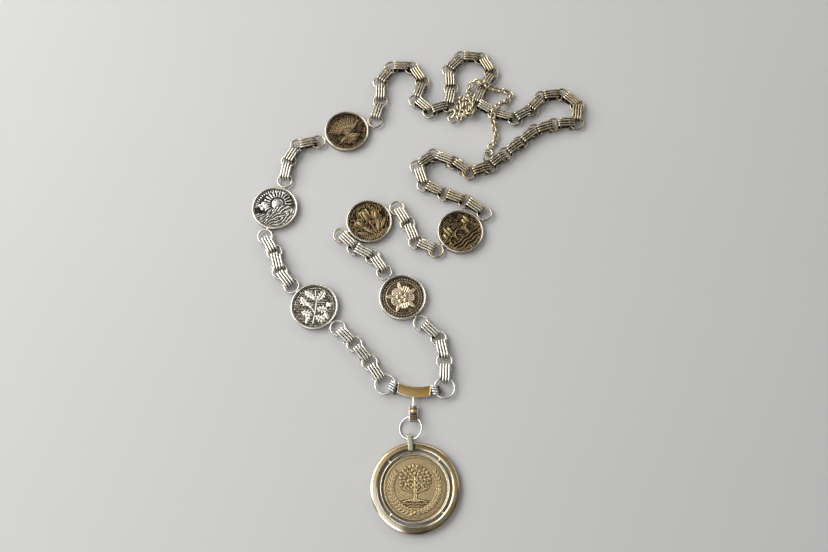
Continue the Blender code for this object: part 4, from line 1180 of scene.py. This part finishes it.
# Safety chain: small oval links, each rolled to the other side of the one before; sway turns them all
# slowly to and fro, and jumble moves each a little off the route.
safety = {"linkLength": 5.4, "linkWidth": 4.8, "wire": 1.4, "squareness": 0.85, "pitch": 2.85, "roll": 42.0,
          "sway": 26.0, "jumble": 0.5, "lift": 0.35, "gap": 0.05, "shade": 0.6, "steps": 26, "sides": 8}
safetyRoute = [
    (28.0, 118.6, 1.6), (27.3, 124.0, 1.6), (27.4, 131.4, 1.6), (28.5, 135.2, 3.2), (29.6, 132.0, 4.8),
    (29.5, 124.0, 4.8), (30.6, 119.4, 3.2), (31.6, 123.0, 1.6), (31.6, 130.4, 1.6), (32.7, 134.0, 3.2),
    (33.7, 130.6, 4.8), (33.5, 123.4, 4.9), (35.2, 119.6, 4.8), (36.9, 123.4, 4.9), (36.7, 131.0, 5.0),
    (34.6, 137.6, 3.2), (34.6, 142.0, 2.4), (37.6, 145.8, 6.0), (41.8, 145.8, 7.8), (45.6, 144.4, 7.8),
    (49.6, 142.4, 6.0), (53.8, 141.8, 2.2), (58.6, 142.0, 1.6), (63.4, 140.4, 1.6), (66.6, 137.4, 1.6),
    (63.6, 133.6, 1.8), (60.4, 130.8, 3.4), (57.6, 127.8, 7.2), (54.2, 124.4, 7.8), (51.4, 119.8, 7.4),
    (51.8, 114.8, 4.4), (53.2, 109.4, 1.9), (53.6, 103.8, 1.6), (52.8, 98.6, 1.6), (49.6, 95.6, 1.7)]
# End rings: x, y, z, radius, tilt, and the direction of the high side.
safetyRingWire = 1.3
safetyRings = {"a": (21.6, 121.9, 2.9, 3.3, 34.0, 357.0), "b": (22.9, 117.7, 3.4, 3.5, 6.0, 171.0),
               "c": (47.9, 90.3, 2.5, 2.8, 12.0, 241.0), "d": (46.8, 85.8, 3.42, 3.7, 48.0, 167.0)}


# Catmull-Rom: a cubic through each pair of points whose slopes are half the step between neighbours.
def smoothRoute(route):
    p = np.array(route)
    p = np.vstack([2 * p[0] - p[1], p, 2 * p[-1] - p[-2]])
    t = np.linspace(0, 1, 20, endpoint=False)[:, None, None]
    p0, p1, p2, p3 = p[:-3], p[1:-2], p[2:-1], p[3:]
    curve = 0.5 * (2 * p1 + (p2 - p0) * t + (2 * p0 - 5 * p1 + 4 * p2 - p3) * t ** 2
                   + (3 * p1 - p0 - 3 * p2 + p3) * t ** 3)
    return np.vstack([curve.transpose(1, 0, 2).reshape(-1, 3), p[-2:-1]])


def makeSafetyChain():
    fine = smoothRoute(safetyRoute)
    length = np.linalg.norm(np.diff(fine, axis=0), axis=1).sum()
    count = int(round(length / safety["pitch"])) + 1
    places = evenSteps(fine, count)
    a = fullTurn(safety["steps"])
    half, side = (safety["linkLength"] - safety["wire"]) / 2, (safety["linkWidth"] - safety["wire"]) / 2
    oval = np.stack([half * signedPower(np.cos(a), safety["squareness"]),
                     side * signedPower(np.sin(a), safety["squareness"]), 0 * a], 1)
    link = carried(oval, (0, 0, 1), roundSection(safety["wire"], safety["sides"]), closed=True,
                   inward=-unit(oval))
    link["shadeAndTarnish"] *= safety["shade"]
    shapes = []
    for i, (place, forward) in enumerate(zip(places, unit(np.gradient(places, axis=0)))):
        level = unit(np.cross((0, 0, 1), forward))
        roll = math.radians(safety["sway"] * math.sin(0.9 * i) + safety["roll"] * (1 if i % 2 else -1))
        across = math.cos(roll) * level + math.sin(roll) * np.cross(forward, level)
        stray = safety["jumble"] * np.array((math.sin(2.1 * i), math.cos(3.7 * i), 0))
        laid = moved(link, place + stray + (0, 0, safety["lift"]),
                     np.stack([forward, across, np.cross(forward, across)], 1))
        # a link that would dip below the floor lies on it
        shapes.append(moved(laid, (0, 0, max(0.0, safety["gap"] - laid["points"][:, 2].min()))))
    makePiece("safety_links", joined(shapes), "safetySilver", "bright_silver", "safety_chain")
    for name, (x, y, z, radius, tilt, highSide) in safetyRings.items():
        end = moved(ringShape(radius, safetyRingWire, 40, 10), (x, y, z),
                    turnMatrix("z", highSide) @ turnMatrix("y", -tilt))
        makePiece(f"safety_round_{name}", end, "safetySilver", "bright_silver", f"safety_ring_{name}")
    return count


print("safety chain made:", makeSafetyChain(), "links")
